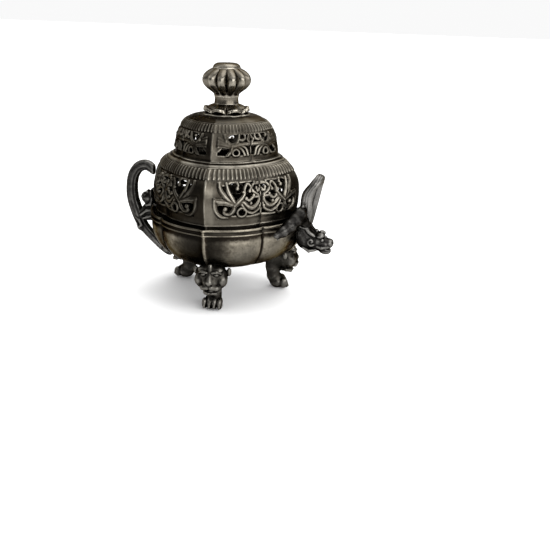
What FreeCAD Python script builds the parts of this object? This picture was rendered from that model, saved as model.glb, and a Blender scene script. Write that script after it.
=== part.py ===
import FreeCAD, Part
import math
import os
import re

import Sketcher

# A footed table incense burner in cast bronze: a lobed bowl on three beast-mask legs, a tail-shaped
# loop handle on one side and a dragon-headed handle on the other, and a pierced two-tier lid that
# lifts off by a fluted knob. Model frame: +Z up, floor at z = 0, handles along X, a lobe's ridge
# facing -Y. X is centred between the two handles' outermost points.

DIMENSIONS = {
    # bowl
    "bowl_floor_height": 29.0,
    "bowl_floor_radius": 31.0,
    "bowl_wall_radius": 56.0,
    "bowl_wall_height": 54.0,
    "bowl_wall_curve": 25.0,
    "bowl_neck_radius": 55.4,
    "bowl_wall": 3.0,
    "rim_height": 64.4,
    "rim_lip_radius": 56.6,
    "rim_band_radius": 57.6,
    "rim_lip_height": 62.4,
    "rim_band_height": 58.8,
    "bowl_ridge_foot": 38.5,
    # lobes
    "lobe_count": 4.0,
    "bowl_ridge": 1.4,
    "lid_ridge": 0.8,
    "ridge_width": 3.8,
    "crease_depth": 1.0,
    "crease_width": 1.6,
    # lower tier of the lid
    "lid_gap": 0.2,
    "lid_wall": 2.4,
    "tier_base_radius": 53.6,
    "tier_band_height": 70.0,
    "tier_wall_curve": 36.0,
    "tier_shoulder_radius": 48.7,
    "tier_shoulder_height": 96.8,
    "tier_shoulder_curve": 14.0,
    "tier_top_radius": 42.5,
    "tier_top_height": 104.0,
    "tier_mouth_radius": 34.0,
    "seat_ring_radius": 51.9,
    "seat_ring_drop": 4.4,
    # step ring and upper tier
    "step_ring_radius": 42.0,
    "step_ring_height": 107.0,
    "dome_base_radius": 37.8,
    "dome_band_height": 111.0,
    "dome_wall_curve": 44.0,
    "dome_shoulder_radius": 33.6,
    "dome_shoulder_height": 126.0,
    "dome_crown_curve": 19.0,
    "dome_crown_radius": 21.0,
    "dome_crown_height": 135.3,
    # finial
    "collar_radius": 17.0,
    "collar_lip_height": 138.0,
    "collar_height": 143.0,
    "collar_curve": 9.0,
    "petal_count": 8.0,
    "petal_notch_width": 1.8,
    "neck_radius": 8.8,
    "neck_height": 150.0,
    "knob_radius": 17.8,
    "knob_foot_radius": 9.5,
    "knob_middle_height": 159.5,
    "knob_lower_curve": 10.6,
    "knob_upper_curve": 10.4,
    "knob_top_height": 168.4,
    "knob_top_radius": 9.6,
    "knob_flute_count": 12.0,
    "flute_width": 1.4,
    "flute_depth": 1.6,
    "button_radius": 8.6,
    "button_edge": 1.0,
    "button_cap": 2.0,
    "rod_radius": 2.5,
    "rod_foot_height": 124.0,
    "rod_top_height": 164.0,
    "rod_clearance": 0.05,
    "washer_radius": 7.0,
    "washer_thickness": 1.2,
    "nut_radius": 5.0,
    "nut_thickness": 4.5,
    # pierced openings
    "tier_hole_radius": 3.4,
    "tier_hole_low": 75.0,
    "tier_hole_mid": 83.4,
    "tier_hole_high": 91.4,
    "dome_hole_radius": 2.7,
    "dome_hole_low": 114.6,
    "dome_hole_high": 121.6,
    # legs
    "front_leg_turn": 3.5,
    "right_leg_turn": 111.0,
    "left_leg_turn": 245.5,
    "mask_width": 24.0,
    "shank_width": 13.0,
    "leg_back": 33.0,
    "leg_sole_back": 39.0,
    "leg_sole_front": 48.0,
    "toe_reach": 50.0,
    "toe_height": 6.5,
    "mask_reach": 55.0,
    "mask_chin_height": 13.5,
    "mask_brow_height": 33.0,
    "rivet_radius": 1.5,
    "rivet_head_radius": 3.0,
    "rivet_head_height": 1.4,
    "leg_rivet_circle": 40.0,
    "leg_rivet_foot": 22.0,
    "leg_rivet_seat": 35.8,
    # tail loop handle
    "tail_reach": 79.0,
    "tail_width": 7.6,
    "tail_top_curve": 20.6,
    "tail_inner_curve": 15.0,
    "tail_tip": 56.3,
    "crest_width": 6.0,
    "handle_rivet_height": 54.5,
    "handle_rivet_inner": 50.5,
    "handle_rivet_outer": 62.0,
    # dragon handle
    "snout_reach": 83.8,
    "dragon_width": 17.0,
    "snout_width": 13.0,
    "arch_lean": 20.0,
    "arch_foot_radius": 58.6,
    "arch_foot_height": 60.4,
    "arch_rise": 38.0,
    "arch_half_foot": 10.0,
    "arch_half_top": 8.6,
    "arch_half_gap": 3.4,
    "arch_thickness": 5.4,
    "arm_radius": 61.2,
    "arm_thickness": 2.6,
    "arm_sweep": 21.5,
    "arm_start": 59.0,
    "arm_tilt": 26.0,
    "arm_height": 62.0,
}

doc = FreeCAD.newDocument("table_censer")
sheet = doc.addObject("Spreadsheet::Sheet", "Sizes")
for row, (alias, size) in enumerate(DIMENSIONS.items(), start=1):
    sheet.set("A%d" % row, alias.replace("_", " "))
    sheet.set("B%d" % row, str(size))
    sheet.setAlias("B%d" % row, alias)
doc.recompute()

AXIS_X = "(tail_reach - snout_reach) / 2"
X_AXIS = FreeCAD.Vector(1, 0, 0)
Y_AXIS = FreeCAD.Vector(0, 1, 0)
Z_AXIS = FreeCAD.Vector(0, 0, 1)


def sheet_expression(text):
    """The text with each alias written as a reference to the sheet."""
    return re.sub(r"[a-z][a-z0-9_]*", lambda word: "Sizes." + word.group(), str(text))


def value(text):
    """The present value of an expression in the sheet's aliases."""
    return float(doc.Sizes.evalExpression(sheet_expression(text)))


def bind(target, path, text):
    target.setExpression(path, sheet_expression(text))


def place(part, turn="0"):
    """Stands a sub-part on the bowl's axis, turned about it by an expression in degrees."""
    part.Placement = FreeCAD.Placement(FreeCAD.Vector(0, 0, 0), FreeCAD.Rotation(Z_AXIS, value(turn)))
    bind(part, "Placement.Base.x", AXIS_X)
    return part


def new_body(label, turn="0"):
    body = doc.addObject("PartDesign::Body", label)
    body.Label = label
    return place(body, turn)


def origin_feature(body, role):
    return next(item for item in body.Origin.OriginFeatures if item.Role == role)


def new_sketch(body, name, plane, offset):
    sketch = body.newObject("Sketcher::SketchObject", name)
    sketch.AttachmentSupport = [(origin_feature(body, plane), "")]
    sketch.MapMode = "FlatFace"
    if offset is not None:
        sketch.AttachmentOffset = offset
    return sketch


def arc_between(start, end, radius):
    """The short arc of that radius; a positive radius bulges to the right of start to end."""
    along = end - start
    half = along.Length / 2
    side = FreeCAD.Vector(along.y, -along.x, 0).normalize()
    sagitta = abs(radius) - math.sqrt(max(radius * radius - half * half, 0.0))
    middle = (start + end) / 2 + side * math.copysign(sagitta, radius)
    if radius < 0:
        return Part.Arc(end, middle, start)
    return Part.Arc(start, middle, end)


def pin_point(sketch, edge, end, corner):
    """Fixes an edge's end at a pair of expressions."""
    for kind, text in zip(("DistanceX", "DistanceY"), corner):
        number = sketch.addConstraint(Sketcher.Constraint(kind, -1, 1, edge, end, value(text)))
        bind(sketch, "Constraints[%d]" % number, text)


def outline(body, name, corners, plane="XZ_Plane", offset=None):
    """A closed outline. Each corner is two expressions and, for an arc to the next, a radius."""
    sketch = new_sketch(body, name, plane, offset)
    points = [FreeCAD.Vector(value(corner[0]), value(corner[1]), 0) for corner in corners]
    following = points[1:] + points[:1]
    ends = []
    for corner, start, end in zip(corners, points, following):
        if len(corner) == 3:
            edge = sketch.addGeometry(arc_between(start, end, value(corner[2])), False)
        else:
            edge = sketch.addGeometry(Part.LineSegment(start, end), False)
        curve = sketch.Geometry[edge]
        forward = (curve.StartPoint - start).Length < (curve.EndPoint - start).Length
        ends.append((edge, 1, 2) if forward else (edge, 2, 1))
    for (edge, first, last), (next_edge, next_first, _) in zip(ends, ends[1:] + ends[:1]):
        sketch.addConstraint(Sketcher.Constraint("Coincident", edge, last, next_edge, next_first))
    for corner, (edge, first, _) in zip(corners, ends):
        pin_point(sketch, edge, first, corner)
        if len(corner) == 3:
            radius = abs(value(corner[2]))
            number = sketch.addConstraint(Sketcher.Constraint("Radius", edge, radius))
            bind(sketch, "Constraints[%d]" % number, corner[2].lstrip("-"))
    return sketch


def circles(body, name, centres, radius, plane="XZ_Plane", offset=None):
    """Circles of one radius, with each centre a pair of expressions."""
    sketch = new_sketch(body, name, plane, offset)
    for centre in centres:
        middle = FreeCAD.Vector(value(centre[0]), value(centre[1]), 0)
        edge = sketch.addGeometry(Part.Circle(middle, Z_AXIS, value(radius)), False)
        pin_point(sketch, edge, 3, centre)
        number = sketch.addConstraint(Sketcher.Constraint("Radius", edge, value(radius)))
        bind(sketch, "Constraints[%d]" % number, radius)
    return sketch


def turned(degrees):
    """An offset that turns a sketch on the XZ plane about the vertical axis."""
    return FreeCAD.Placement(FreeCAD.Vector(0, 0, 0), FreeCAD.Rotation(Y_AXIS, degrees))


def feature(body, kind, name, sketch):
    made = body.newObject("PartDesign::" + kind, name)
    made.Profile = sketch
    return made


def revolve(body, name, corners, kind="Revolution"):
    sketch = outline(body, name + "_profile", corners)
    made = feature(body, kind, name, sketch)
    made.ReferenceAxis = (sketch, ["V_Axis"])
    made.Angle = 360.0
    return made


def both_ways(body, kind, name, sketch, length):
    """A pad or pocket that reaches half its length to each side of the sketch."""
    made = feature(body, kind, name, sketch)
    made.Midplane = True
    bind(made, "Length", length)
    return made


def around(body, name, original, count):
    """Repeats a feature round the vertical axis."""
    pattern = body.newObject("PartDesign::PolarPattern", name)
    pattern.Originals = [original]
    pattern.Axis = (origin_feature(body, "Z_Axis"), [""])
    pattern.Angle = 360.0
    bind(pattern, "Occurrences", count)
    body.Tip = pattern
    return pattern


def shifted(path, amount):
    """A wall's path, moved outwards by an expression."""
    moved = []
    for corner in path:
        curve = () if len(corner) == 2 else ("%s + (%s)" % (corner[2], amount),)
        moved.append(("%s + (%s)" % (corner[0], amount), corner[1]) + curve)
    return moved


def band(path, inner, outer):
    """The closed outline between a wall's path moved by inner and the same path moved by outer."""
    out = shifted(path, outer)
    back = []
    moved_in = shifted(path, inner)
    for index in range(len(moved_in) - 1, -1, -1):
        before = moved_in[index - 1] if index > 0 else ()
        curve = ("-(%s)" % before[2],) if len(before) == 3 else ()
        back.append(moved_in[index][:2] + curve)
    return out + back


def ridges_and_creases(body, path, ridge):
    """Raised ridges on the four lobe tips and sunk creases between them."""
    rib = outline(body, "ridge_outline", band(path, "-0.8", ridge))
    ridge_pad = both_ways(body, "Pad", "ridge", rib, "ridge_width")
    around(body, "ridges", ridge_pad, "lobe_count")
    valley = outline(body, "crease_outline", band(path, "-crease_depth", "2"), offset=turned(45.0))
    crease = both_ways(body, "Pocket", "crease", valley, "crease_width")
    around(body, "creases", crease, "lobe_count")


def pierce(body, name, columns, heights, radius):
    """Rows of round openings in each of the eight panels between a ridge and a crease."""
    for number, degrees in enumerate(columns):
        centres = [("0", height) for height in heights[number % len(heights)]]
        sketch = circles(body, "%s_%d_outline" % (name, number), centres, radius, offset=turned(degrees))
        hole = both_ways(body, "Pocket", "%s_%d" % (name, number), sketch, "3 * bowl_wall_radius")
        around(body, "%s_%d_ring" % (name, number), hole, "lobe_count")


# Paths of the walls' outer faces, from below upwards. The third entry is the curve to the next point.
BOWL_PATH = [
    ("bowl_floor_radius", "bowl_floor_height", "bowl_wall_curve"),
    ("bowl_wall_radius", "bowl_wall_height"),
    ("bowl_neck_radius", "rim_band_height"),
]
TIER_PATH = [
    ("tier_base_radius", "tier_band_height", "tier_wall_curve"),
    ("tier_shoulder_radius", "tier_shoulder_height", "tier_shoulder_curve"),
    ("tier_top_radius", "tier_top_height"),
]
DOME_PATH = [
    ("dome_base_radius", "dome_band_height", "dome_wall_curve"),
    ("dome_shoulder_radius", "dome_shoulder_height", "dome_crown_curve"),
    ("dome_crown_radius", "dome_crown_height"),
]
LID_FOOT = "rim_height + lid_gap"
LEG_TURNS = ["front_leg_turn", "right_leg_turn", "left_leg_turn"]


def bowl_outside(clearance):
    """The bowl's outer form as a closed half outline, moved outwards by an expression."""
    floor = "bowl_floor_height - (%s)" % clearance
    neck = "bowl_neck_radius + (%s)" % clearance
    wall = "bowl_wall_radius + (%s)" % clearance
    curve = "bowl_wall_curve + (%s)" % clearance
    band_radius = "rim_band_radius + 0.1"
    return [
        ("0", floor),
        ("bowl_floor_radius", floor, curve),
        (wall, "bowl_wall_height"),
        (neck, "rim_band_height - 0.1"),
        (band_radius, "rim_band_height - 0.1"),
        (band_radius, "rim_height + 0.1"),
        ("0", "rim_height + 0.1"),
    ]


def make_bowl():
    body = new_body("bowl")
    inner = "bowl_floor_height + bowl_wall"
    inner_curve = "bowl_wall_curve - bowl_wall"
    revolve(body, "bowl_shell", [
        ("0", "bowl_floor_height"),
        ("bowl_floor_radius", "bowl_floor_height", "bowl_wall_curve"),
        ("bowl_wall_radius", "bowl_wall_height"),
        ("bowl_neck_radius", "rim_band_height"),
        ("bowl_neck_radius", "rim_height"),
        ("bowl_neck_radius - bowl_wall", "rim_height"),
        ("bowl_neck_radius - bowl_wall", "rim_band_height"),
        ("bowl_wall_radius - bowl_wall", "bowl_wall_height", "-(%s)" % inner_curve),
        ("bowl_floor_radius", inner),
        ("0", inner),
    ])
    upper_wall = [("bowl_wall_radius - 4.6", "bowl_ridge_foot", "bowl_wall_curve")] + BOWL_PATH[1:]
    ridges_and_creases(body, upper_wall, "bowl_ridge")
    spots = []
    for turn in LEG_TURNS:
        degrees = math.radians(value(turn) - 90.0)
        spots.append(("leg_rivet_circle * %.6f" % math.cos(degrees),
                      "leg_rivet_circle * %.6f" % math.sin(degrees)))
    leg_holes = circles(body, "leg_rivet_holes", spots, "rivet_radius", "XY_Plane")
    both_ways(body, "Pocket", "leg_rivet_cut", leg_holes, "2 * rim_height")
    side_hole = circles(body, "handle_rivet_hole", [("0", "handle_rivet_height")], "rivet_radius",
                        "YZ_Plane")
    both_ways(body, "Pocket", "handle_rivet_cut", side_hole, "3 * bowl_wall_radius")
    return body


def make_rim_band():
    body = new_body("bowl_rim_band")
    revolve(body, "rim_band", [
        ("bowl_neck_radius", "rim_band_height"),
        ("rim_band_radius - 0.6", "rim_band_height"),
        ("rim_band_radius", "rim_band_height + 0.6"),
        ("rim_band_radius", "rim_lip_height - 0.4"),
        ("rim_lip_radius", "rim_lip_height"),
        ("rim_lip_radius", "rim_height - 0.5"),
        ("rim_lip_radius - 0.5", "rim_height"),
        ("bowl_neck_radius", "rim_height"),
    ])
    return body


def make_seat_ring():
    body = new_body("lid_seat_ring")
    revolve(body, "seat_ring", [
        ("seat_ring_radius", "rim_height - seat_ring_drop"),
        ("seat_ring_radius", LID_FOOT),
        ("tier_base_radius - lid_wall", LID_FOOT),
        ("tier_base_radius - lid_wall", LID_FOOT + " + 2"),
        ("seat_ring_radius - 2", LID_FOOT + " + 2"),
        ("seat_ring_radius - 2", "rim_height - seat_ring_drop"),
    ])
    return body


def make_lower_tier():
    body = new_body("lid_lower_tier")
    low = [("tier_base_radius", LID_FOOT)]
    high = [("tier_mouth_radius", "tier_top_height"),
            ("tier_mouth_radius", "tier_top_height - lid_wall")]
    inside = band(TIER_PATH, "-lid_wall", "0")[len(TIER_PATH):]
    inside[0] = ("tier_top_radius - 1.2", "tier_top_height - lid_wall", "-tier_shoulder_curve")
    revolve(body, "lower_shell", low + TIER_PATH + high + inside
            + [("tier_base_radius - lid_wall", LID_FOOT)])
    ridges_and_creases(body, TIER_PATH, "lid_ridge")
    rows = [("tier_hole_low", "tier_hole_high"), ("tier_hole_mid",)]
    for first in (0.0, 45.0):
        name = "scroll_%d" % first
        pierce(body, name, [first + 9.0, first + 16.5, first + 24.0, first + 31.5],
               rows, "tier_hole_radius")
    return body


def make_step_ring():
    body = new_body("lid_step_ring")
    revolve(body, "step_ring", [
        ("tier_mouth_radius", "tier_top_height"),
        ("step_ring_radius - 0.8", "tier_top_height"),
        ("step_ring_radius", "tier_top_height + 0.8"),
        ("step_ring_radius", "step_ring_height - 0.8"),
        ("step_ring_radius - 0.8", "step_ring_height"),
        ("tier_mouth_radius", "step_ring_height"),
    ])
    return body


def make_upper_tier():
    body = new_body("lid_upper_tier")
    inside = band(DOME_PATH, "-lid_wall", "0")[len(DOME_PATH):]
    inside[0] = ("dome_crown_radius - 1.0", "dome_crown_height - lid_wall", "-dome_crown_curve")
    hole = "rod_radius + rod_clearance"
    revolve(body, "upper_shell", [("dome_base_radius", "step_ring_height")] + DOME_PATH
            + [(hole, "dome_crown_height"), (hole, "dome_crown_height - lid_wall")] + inside
            + [("dome_base_radius - lid_wall", "step_ring_height")])
    ridges_and_creases(body, DOME_PATH, "lid_ridge")
    rows = [("dome_hole_low", "dome_hole_high"), ("0.5 * dome_hole_low + 0.5 * dome_hole_high",)]
    for first in (0.0, 45.0):
        name = "scroll_%d" % first
        pierce(body, name, [first + 11.0, first + 20.0, first + 30.0], rows, "dome_hole_radius")
    return body


def make_collar():
    body = new_body("lotus_collar")
    hole = "rod_radius + rod_clearance"
    revolve(body, "collar", [
        (hole, "dome_crown_height"),
        ("collar_radius - 1", "dome_crown_height"),
        ("collar_radius", "collar_lip_height", "collar_curve"),
        ("neck_radius", "collar_height"),
        (hole, "collar_height"),
    ])
    notch = outline(body, "petal_notch_outline", [
        ("collar_radius - 3", "dome_crown_height - 1"),
        ("collar_radius + 3", "dome_crown_height - 1"),
        ("collar_radius + 3", "collar_height"),
        ("collar_radius - 2", "collar_height - 1"),
    ], offset=turned(15.0))
    cut = both_ways(body, "Pocket", "petal_notch", notch, "petal_notch_width")
    around(body, "petal_notches", cut, "petal_count")
    return body


def make_neck():
    body = new_body("knob_neck")
    hole = "rod_radius + rod_clearance"
    revolve(body, "neck", [
        (hole, "collar_height"),
        ("neck_radius", "collar_height"),
        ("neck_radius - 0.4", "collar_height + 3"),
        ("neck_radius", "neck_height"),
        (hole, "neck_height"),
    ])
    return body


def make_knob():
    body = new_body("fluted_knob")
    hole = "rod_radius + rod_clearance"
    revolve(body, "knob", [
        (hole, "neck_height"),
        ("knob_foot_radius", "neck_height", "knob_lower_curve"),
        ("knob_radius", "knob_middle_height", "knob_upper_curve"),
        ("knob_top_radius", "knob_top_height"),
        ("0", "knob_top_height"),
        ("0", "rod_top_height + 0.3"),
        (hole, "rod_top_height + 0.3"),
    ])
    flute = outline(body, "flute_outline", [
        ("knob_foot_radius - 0.5", "neck_height", "knob_lower_curve"),
        ("knob_radius - flute_depth", "knob_middle_height", "knob_upper_curve"),
        ("knob_top_radius - 0.2", "knob_top_height"),
        ("knob_radius + 2", "knob_top_height"),
        ("knob_radius + 2", "neck_height"),
    ], offset=turned(15.0))
    cut = both_ways(body, "Pocket", "flute", flute, "flute_width")
    around(body, "flutes", cut, "knob_flute_count")
    return body


def make_button():
    """A shallow spherical cap, so its curve meets the axis square."""
    body = new_body("knob_button")
    cap_curve = "(button_radius * button_radius + button_cap * button_cap) / (2 * button_cap)"
    revolve(body, "button", [
        ("0", "knob_top_height"),
        ("button_radius", "knob_top_height"),
        ("button_radius", "knob_top_height + button_edge", cap_curve),
        ("0", "knob_top_height + button_edge + button_cap"),
    ])
    return body


def cylinder(name, radius, height, low, turn="0"):
    """A round bar on the bowl's axis, with all its sizes bound."""
    bar = doc.addObject("Part::Cylinder", name)
    bind(bar, "Radius", radius)
    bind(bar, "Height", height)
    bar.Placement = FreeCAD.Placement(FreeCAD.Vector(0, 0, 0), FreeCAD.Rotation(Z_AXIS, value(turn)))
    bind(bar, "Placement.Base.x", AXIS_X)
    bind(bar, "Placement.Base.z", low)
    return bar


def make_tie_rod():
    rod = cylinder("tie_rod", "rod_radius", "rod_top_height - rod_foot_height", "rod_foot_height")
    rod.Label = "tie_rod"
    return rod


def make_ring(label, outer, thickness, low):
    """A washer or a plain round nut on the tie rod."""
    disc = cylinder(label + "_disc", outer, thickness, low)
    bore = cylinder(label + "_bore", "rod_radius + rod_clearance", thickness, low)
    ring = doc.addObject("Part::Cut", label)
    ring.Label = label
    ring.Base = disc
    ring.Tool = bore
    return ring


def make_hex_nut():
    prism = doc.addObject("Part::Prism", "tie_nut_blank")
    prism.Polygon = 6
    bind(prism, "Circumradius", "nut_radius")
    bind(prism, "Height", "nut_thickness")
    bind(prism, "Placement.Base.x", AXIS_X)
    low = "dome_crown_height - lid_wall - washer_thickness - nut_thickness"
    bind(prism, "Placement.Base.z", low)
    bore = cylinder("tie_nut_bore", "rod_radius + rod_clearance", "nut_thickness", low)
    nut = doc.addObject("Part::Cut", "tie_nut")
    nut.Label = "tie_nut"
    nut.Base = prism
    nut.Tool = bore
    return nut


def make_leg(label, turn):
    """A beast mask over a bent shank and a paw whose toes curl outwards."""
    body = new_body(label, "%s - 90" % turn)
    shank = outline(body, "shank_outline", [
        ("leg_back", "bowl_floor_height + 2"),
        ("leg_back", "18", "-26"),
        ("leg_sole_back - 4", "4", "6"),
        ("leg_sole_back", "0"),
        ("leg_sole_front", "0", "4.2"),
        ("toe_reach", "toe_height", "4.4"),
        ("leg_sole_front - 3", "toe_height + 3.4"),
        ("leg_sole_front - 2", "mask_chin_height + 1"),
        ("leg_sole_front", "38"),
    ])
    both_ways(body, "Pad", "shank", shank, "shank_width")
    mask = outline(body, "mask_outline", [
        ("leg_back + 8", "bowl_floor_height + 3"),
        ("leg_back + 9", "mask_chin_height + 6"),
        ("mask_reach - 5", "mask_chin_height", "9"),
        ("mask_reach", "24", "12"),
        ("mask_reach - 3", "mask_brow_height"),
        ("mask_reach - 8", "40"),
    ])
    both_ways(body, "Pad", "mask", mask, "mask_width")
    revolve(body, "bowl_seat", bowl_outside("0.0"), "Groove")
    hole = circles(body, "rivet_hole", [("leg_rivet_circle", "0")], "rivet_radius", "XY_Plane",
                   FreeCAD.Placement(FreeCAD.Vector(0, 0, value("leg_rivet_foot")), FreeCAD.Rotation()))
    cut = feature(body, "Pocket", "rivet_cut", hole)
    cut.Reversed = True
    bind(cut, "Length", "rim_height")
    return body


def rivet(name, placement, length):
    """A shank along the placement's Z axis with its flat head at the far end."""
    shank = doc.addObject("Part::Cylinder", name + "_shank")
    bind(shank, "Radius", "rivet_radius")
    bind(shank, "Height", length)
    head = doc.addObject("Part::Cone", name + "_head")
    bind(head, "Radius1", "rivet_head_radius")
    bind(head, "Radius2", "rivet_head_radius - 1")
    bind(head, "Height", "rivet_head_height")
    bind(head, "Placement.Base.z", length)
    whole = doc.addObject("Part::Fuse", name)
    whole.Base = shank
    whole.Tool = head
    whole.Placement = placement
    return whole


def make_leg_rivets():
    rivets = []
    for number, turn in enumerate(LEG_TURNS):
        angle = math.radians(value(turn) - 90.0)
        spot = FreeCAD.Vector(math.cos(angle), math.sin(angle), 0) * value("leg_rivet_circle")
        spot.z = value("leg_rivet_foot")
        rivets.append(rivet("leg_rivet_%d" % number, FreeCAD.Placement(spot, FreeCAD.Rotation()),
                            "leg_rivet_seat - leg_rivet_foot"))
    group = doc.addObject("Part::Compound", "leg_rivets")
    group.Label = "leg_rivets"
    group.Links = rivets
    return place(group)


def make_handle_rivets():
    rivets = []
    for number, side in enumerate((1.0, -1.0)):
        spot = FreeCAD.Vector(side * value("handle_rivet_outer"), 0, value("handle_rivet_height"))
        inward = FreeCAD.Rotation(Z_AXIS, FreeCAD.Vector(-side, 0, 0))
        rivets.append(rivet("handle_rivet_%d" % number, FreeCAD.Placement(spot, inward),
                            "handle_rivet_outer - handle_rivet_inner - 1.4"))
    group = doc.addObject("Part::Compound", "handle_rivets")
    group.Label = "handle_rivets"
    group.Links = rivets
    return place(group)


def rivet_socket(body):
    """The blind hole that takes a handle's rivet."""
    hole = circles(body, "rivet_hole", [("0", "handle_rivet_height")], "rivet_radius", "YZ_Plane")
    cut = feature(body, "Pocket", "rivet_cut", hole)
    cut.Reversed = True
    bind(cut, "Length", "handle_rivet_outer")


def make_tail_loop():
    """A tail that rises from under the bowl, curls over and ends just clear of the lid."""
    body = new_body("tail_loop_handle", "180")
    loop = outline(body, "loop_outline", [
        ("tail_tip", "95.2", "-tail_top_curve"),
        ("tail_reach - 0.6", "71", "-60"),
        ("73.4", "53"),
        ("70.6", "44.5", "-4"),
        ("66.5", "40.3"),
        ("47.5", "22"),
        ("42", "25"),
        ("36", "33"),
        ("50", "41.5"),
        ("59.6", "42.6"),
        ("65", "50"),
        ("68.4", "60"),
        ("70.4", "71", "tail_inner_curve"),
        ("61.5", "89.4"),
        ("tail_tip", "87"),
    ])
    both_ways(body, "Pad", "loop", loop, "tail_width")
    revolve(body, "bowl_seat", bowl_outside("bowl_ridge + 0.1"), "Groove")
    return body


def make_crest_bracket():
    """A bracket from the rim to the tail, with a beast's crest that points into the loop."""
    body = new_body("tail_handle_crest", "180")
    crest = outline(body, "crest_outline", [
        ("50", "50.2"),
        ("64.9", "50.2"),
        ("67.8", "58.8"),
        ("63", "63"),
        ("66.5", "68"),
        ("66", "73"),
        ("60.5", "73"),
        ("57.8", "75.5"),
        ("57.8", "65"),
        ("50", "63"),
    ])
    both_ways(body, "Pad", "crest", crest, "crest_width")
    revolve(body, "bowl_seat", bowl_outside("bowl_ridge + 0.1"), "Groove")
    rivet_socket(body)
    return body


def make_dragon_head():
    body = new_body("dragon_head")
    neck = outline(body, "neck_outline", [
        ("50", "57"),
        ("50", "46"),
        ("57", "42.4", "10"),
        ("64", "38"),
        ("70", "37.2"),
        ("72", "53.4"),
        ("66", "57.6", "-6"),
        ("64", "60.4"),
        ("57.8", "60.4"),
    ])
    both_ways(body, "Pad", "neck", neck, "dragon_width")
    snout = outline(body, "snout_outline", [
        ("68", "37.6"),
        ("78", "35.8", "6"),
        ("snout_reach - 0.5", "44"),
        ("snout_reach - 2.4", "47.6"),
        ("77", "47.8"),
        ("75.6", "52"),
        ("68", "54"),
    ])
    both_ways(body, "Pad", "snout", snout, "snout_width")
    revolve(body, "bowl_seat", bowl_outside("bowl_ridge + 0.1"), "Groove")
    rivet_socket(body)
    return body


def make_mane_arch():
    """The mane as an upright arch, leaning outwards, its two legs on the dragon's neck."""
    body = new_body("dragon_mane_arch")
    lean = FreeCAD.Placement(
        FreeCAD.Vector(0, value("arch_foot_height"), value("arch_foot_radius + arch_thickness / 2")),
        FreeCAD.Rotation(X_AXIS, value("arch_lean")),
    )
    arch = outline(body, "arch_outline", [
        ("-arch_half_foot", "0"),
        ("-arch_half_gap", "0"),
        ("-arch_half_gap", "arch_rise - 10", "-(arch_half_gap + 0.4)"),
        ("arch_half_gap", "arch_rise - 10"),
        ("arch_half_gap", "0"),
        ("arch_half_foot", "0"),
        ("arch_half_top", "arch_rise - arch_half_top", "arch_half_top + 0.6"),
        ("-arch_half_top", "arch_rise - arch_half_top"),
    ], "YZ_Plane", lean)
    both_ways(body, "Pad", "arch", arch, "arch_thickness")
    foot = outline(body, "foot_trim_outline", [
        ("50", "50"),
        ("80", "50"),
        ("80", "arch_foot_height"),
        ("50", "arch_foot_height"),
    ])
    both_ways(body, "Pocket", "foot_trim", foot, "4 * arch_half_foot")
    return body


def make_claw_arm():
    """A clawed forearm that rises along the bowl's rim to the dragon's neck."""
    arm = doc.addObject("Part::Torus", "dragon_claw_arm")
    arm.Label = "dragon_claw_arm"
    bind(arm, "Radius1", "arm_radius")
    bind(arm, "Radius2", "arm_thickness")
    bind(arm, "Angle3", "arm_sweep")
    middle = value("arm_start + arm_sweep / 2") - 90.0
    start = FreeCAD.Rotation(Z_AXIS, value("arm_start") - 90.0)
    radial = FreeCAD.Rotation(Z_AXIS, middle).multVec(X_AXIS)
    tilt = FreeCAD.Rotation(radial, value("arm_tilt"))
    arm.Placement = FreeCAD.Placement(FreeCAD.Vector(0, 0, 0), tilt.multiply(start))
    bind(arm, "Placement.Base.x", AXIS_X)
    bind(arm, "Placement.Base.z", "arm_height")
    return arm


parts = [
    make_bowl(),
    make_rim_band(),
    make_leg_rivets(),
    make_tail_loop(),
    make_crest_bracket(),
    make_dragon_head(),
    make_mane_arch(),
    make_claw_arm(),
    make_handle_rivets(),
    make_seat_ring(),
    make_lower_tier(),
    make_step_ring(),
    make_upper_tier(),
    make_collar(),
    make_neck(),
    make_knob(),
    make_button(),
    make_tie_rod(),
    make_ring("tie_washer", "washer_radius", "washer_thickness",
              "dome_crown_height - lid_wall - washer_thickness"),
    make_hex_nut(),
]
for label, turn in zip(("front_leg", "right_rear_leg", "left_rear_leg"), LEG_TURNS):
    parts.append(make_leg(label, turn))
doc.recompute()

for item in doc.Objects:
    if {"Invalid", "Error"} & set(item.State):
        raise RuntimeError("%s failed: %s" % (item.Name, item.State))
os.makedirs("parts", exist_ok=True)
for part in parts:
    shape = part.Shape
    if shape.isNull() or not shape.isValid():
        raise RuntimeError("%s has no valid shape" % part.Label)
    print("%-18s %9.1f mm3, %d solid" % (part.Label, shape.Volume, len(shape.Solids)))
    shape.exportStep("parts/%s.step" % part.Label)
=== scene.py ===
import math

import bmesh
import bpy
import numpy as np
import openvdb
from mathutils import Matrix, Vector


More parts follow.
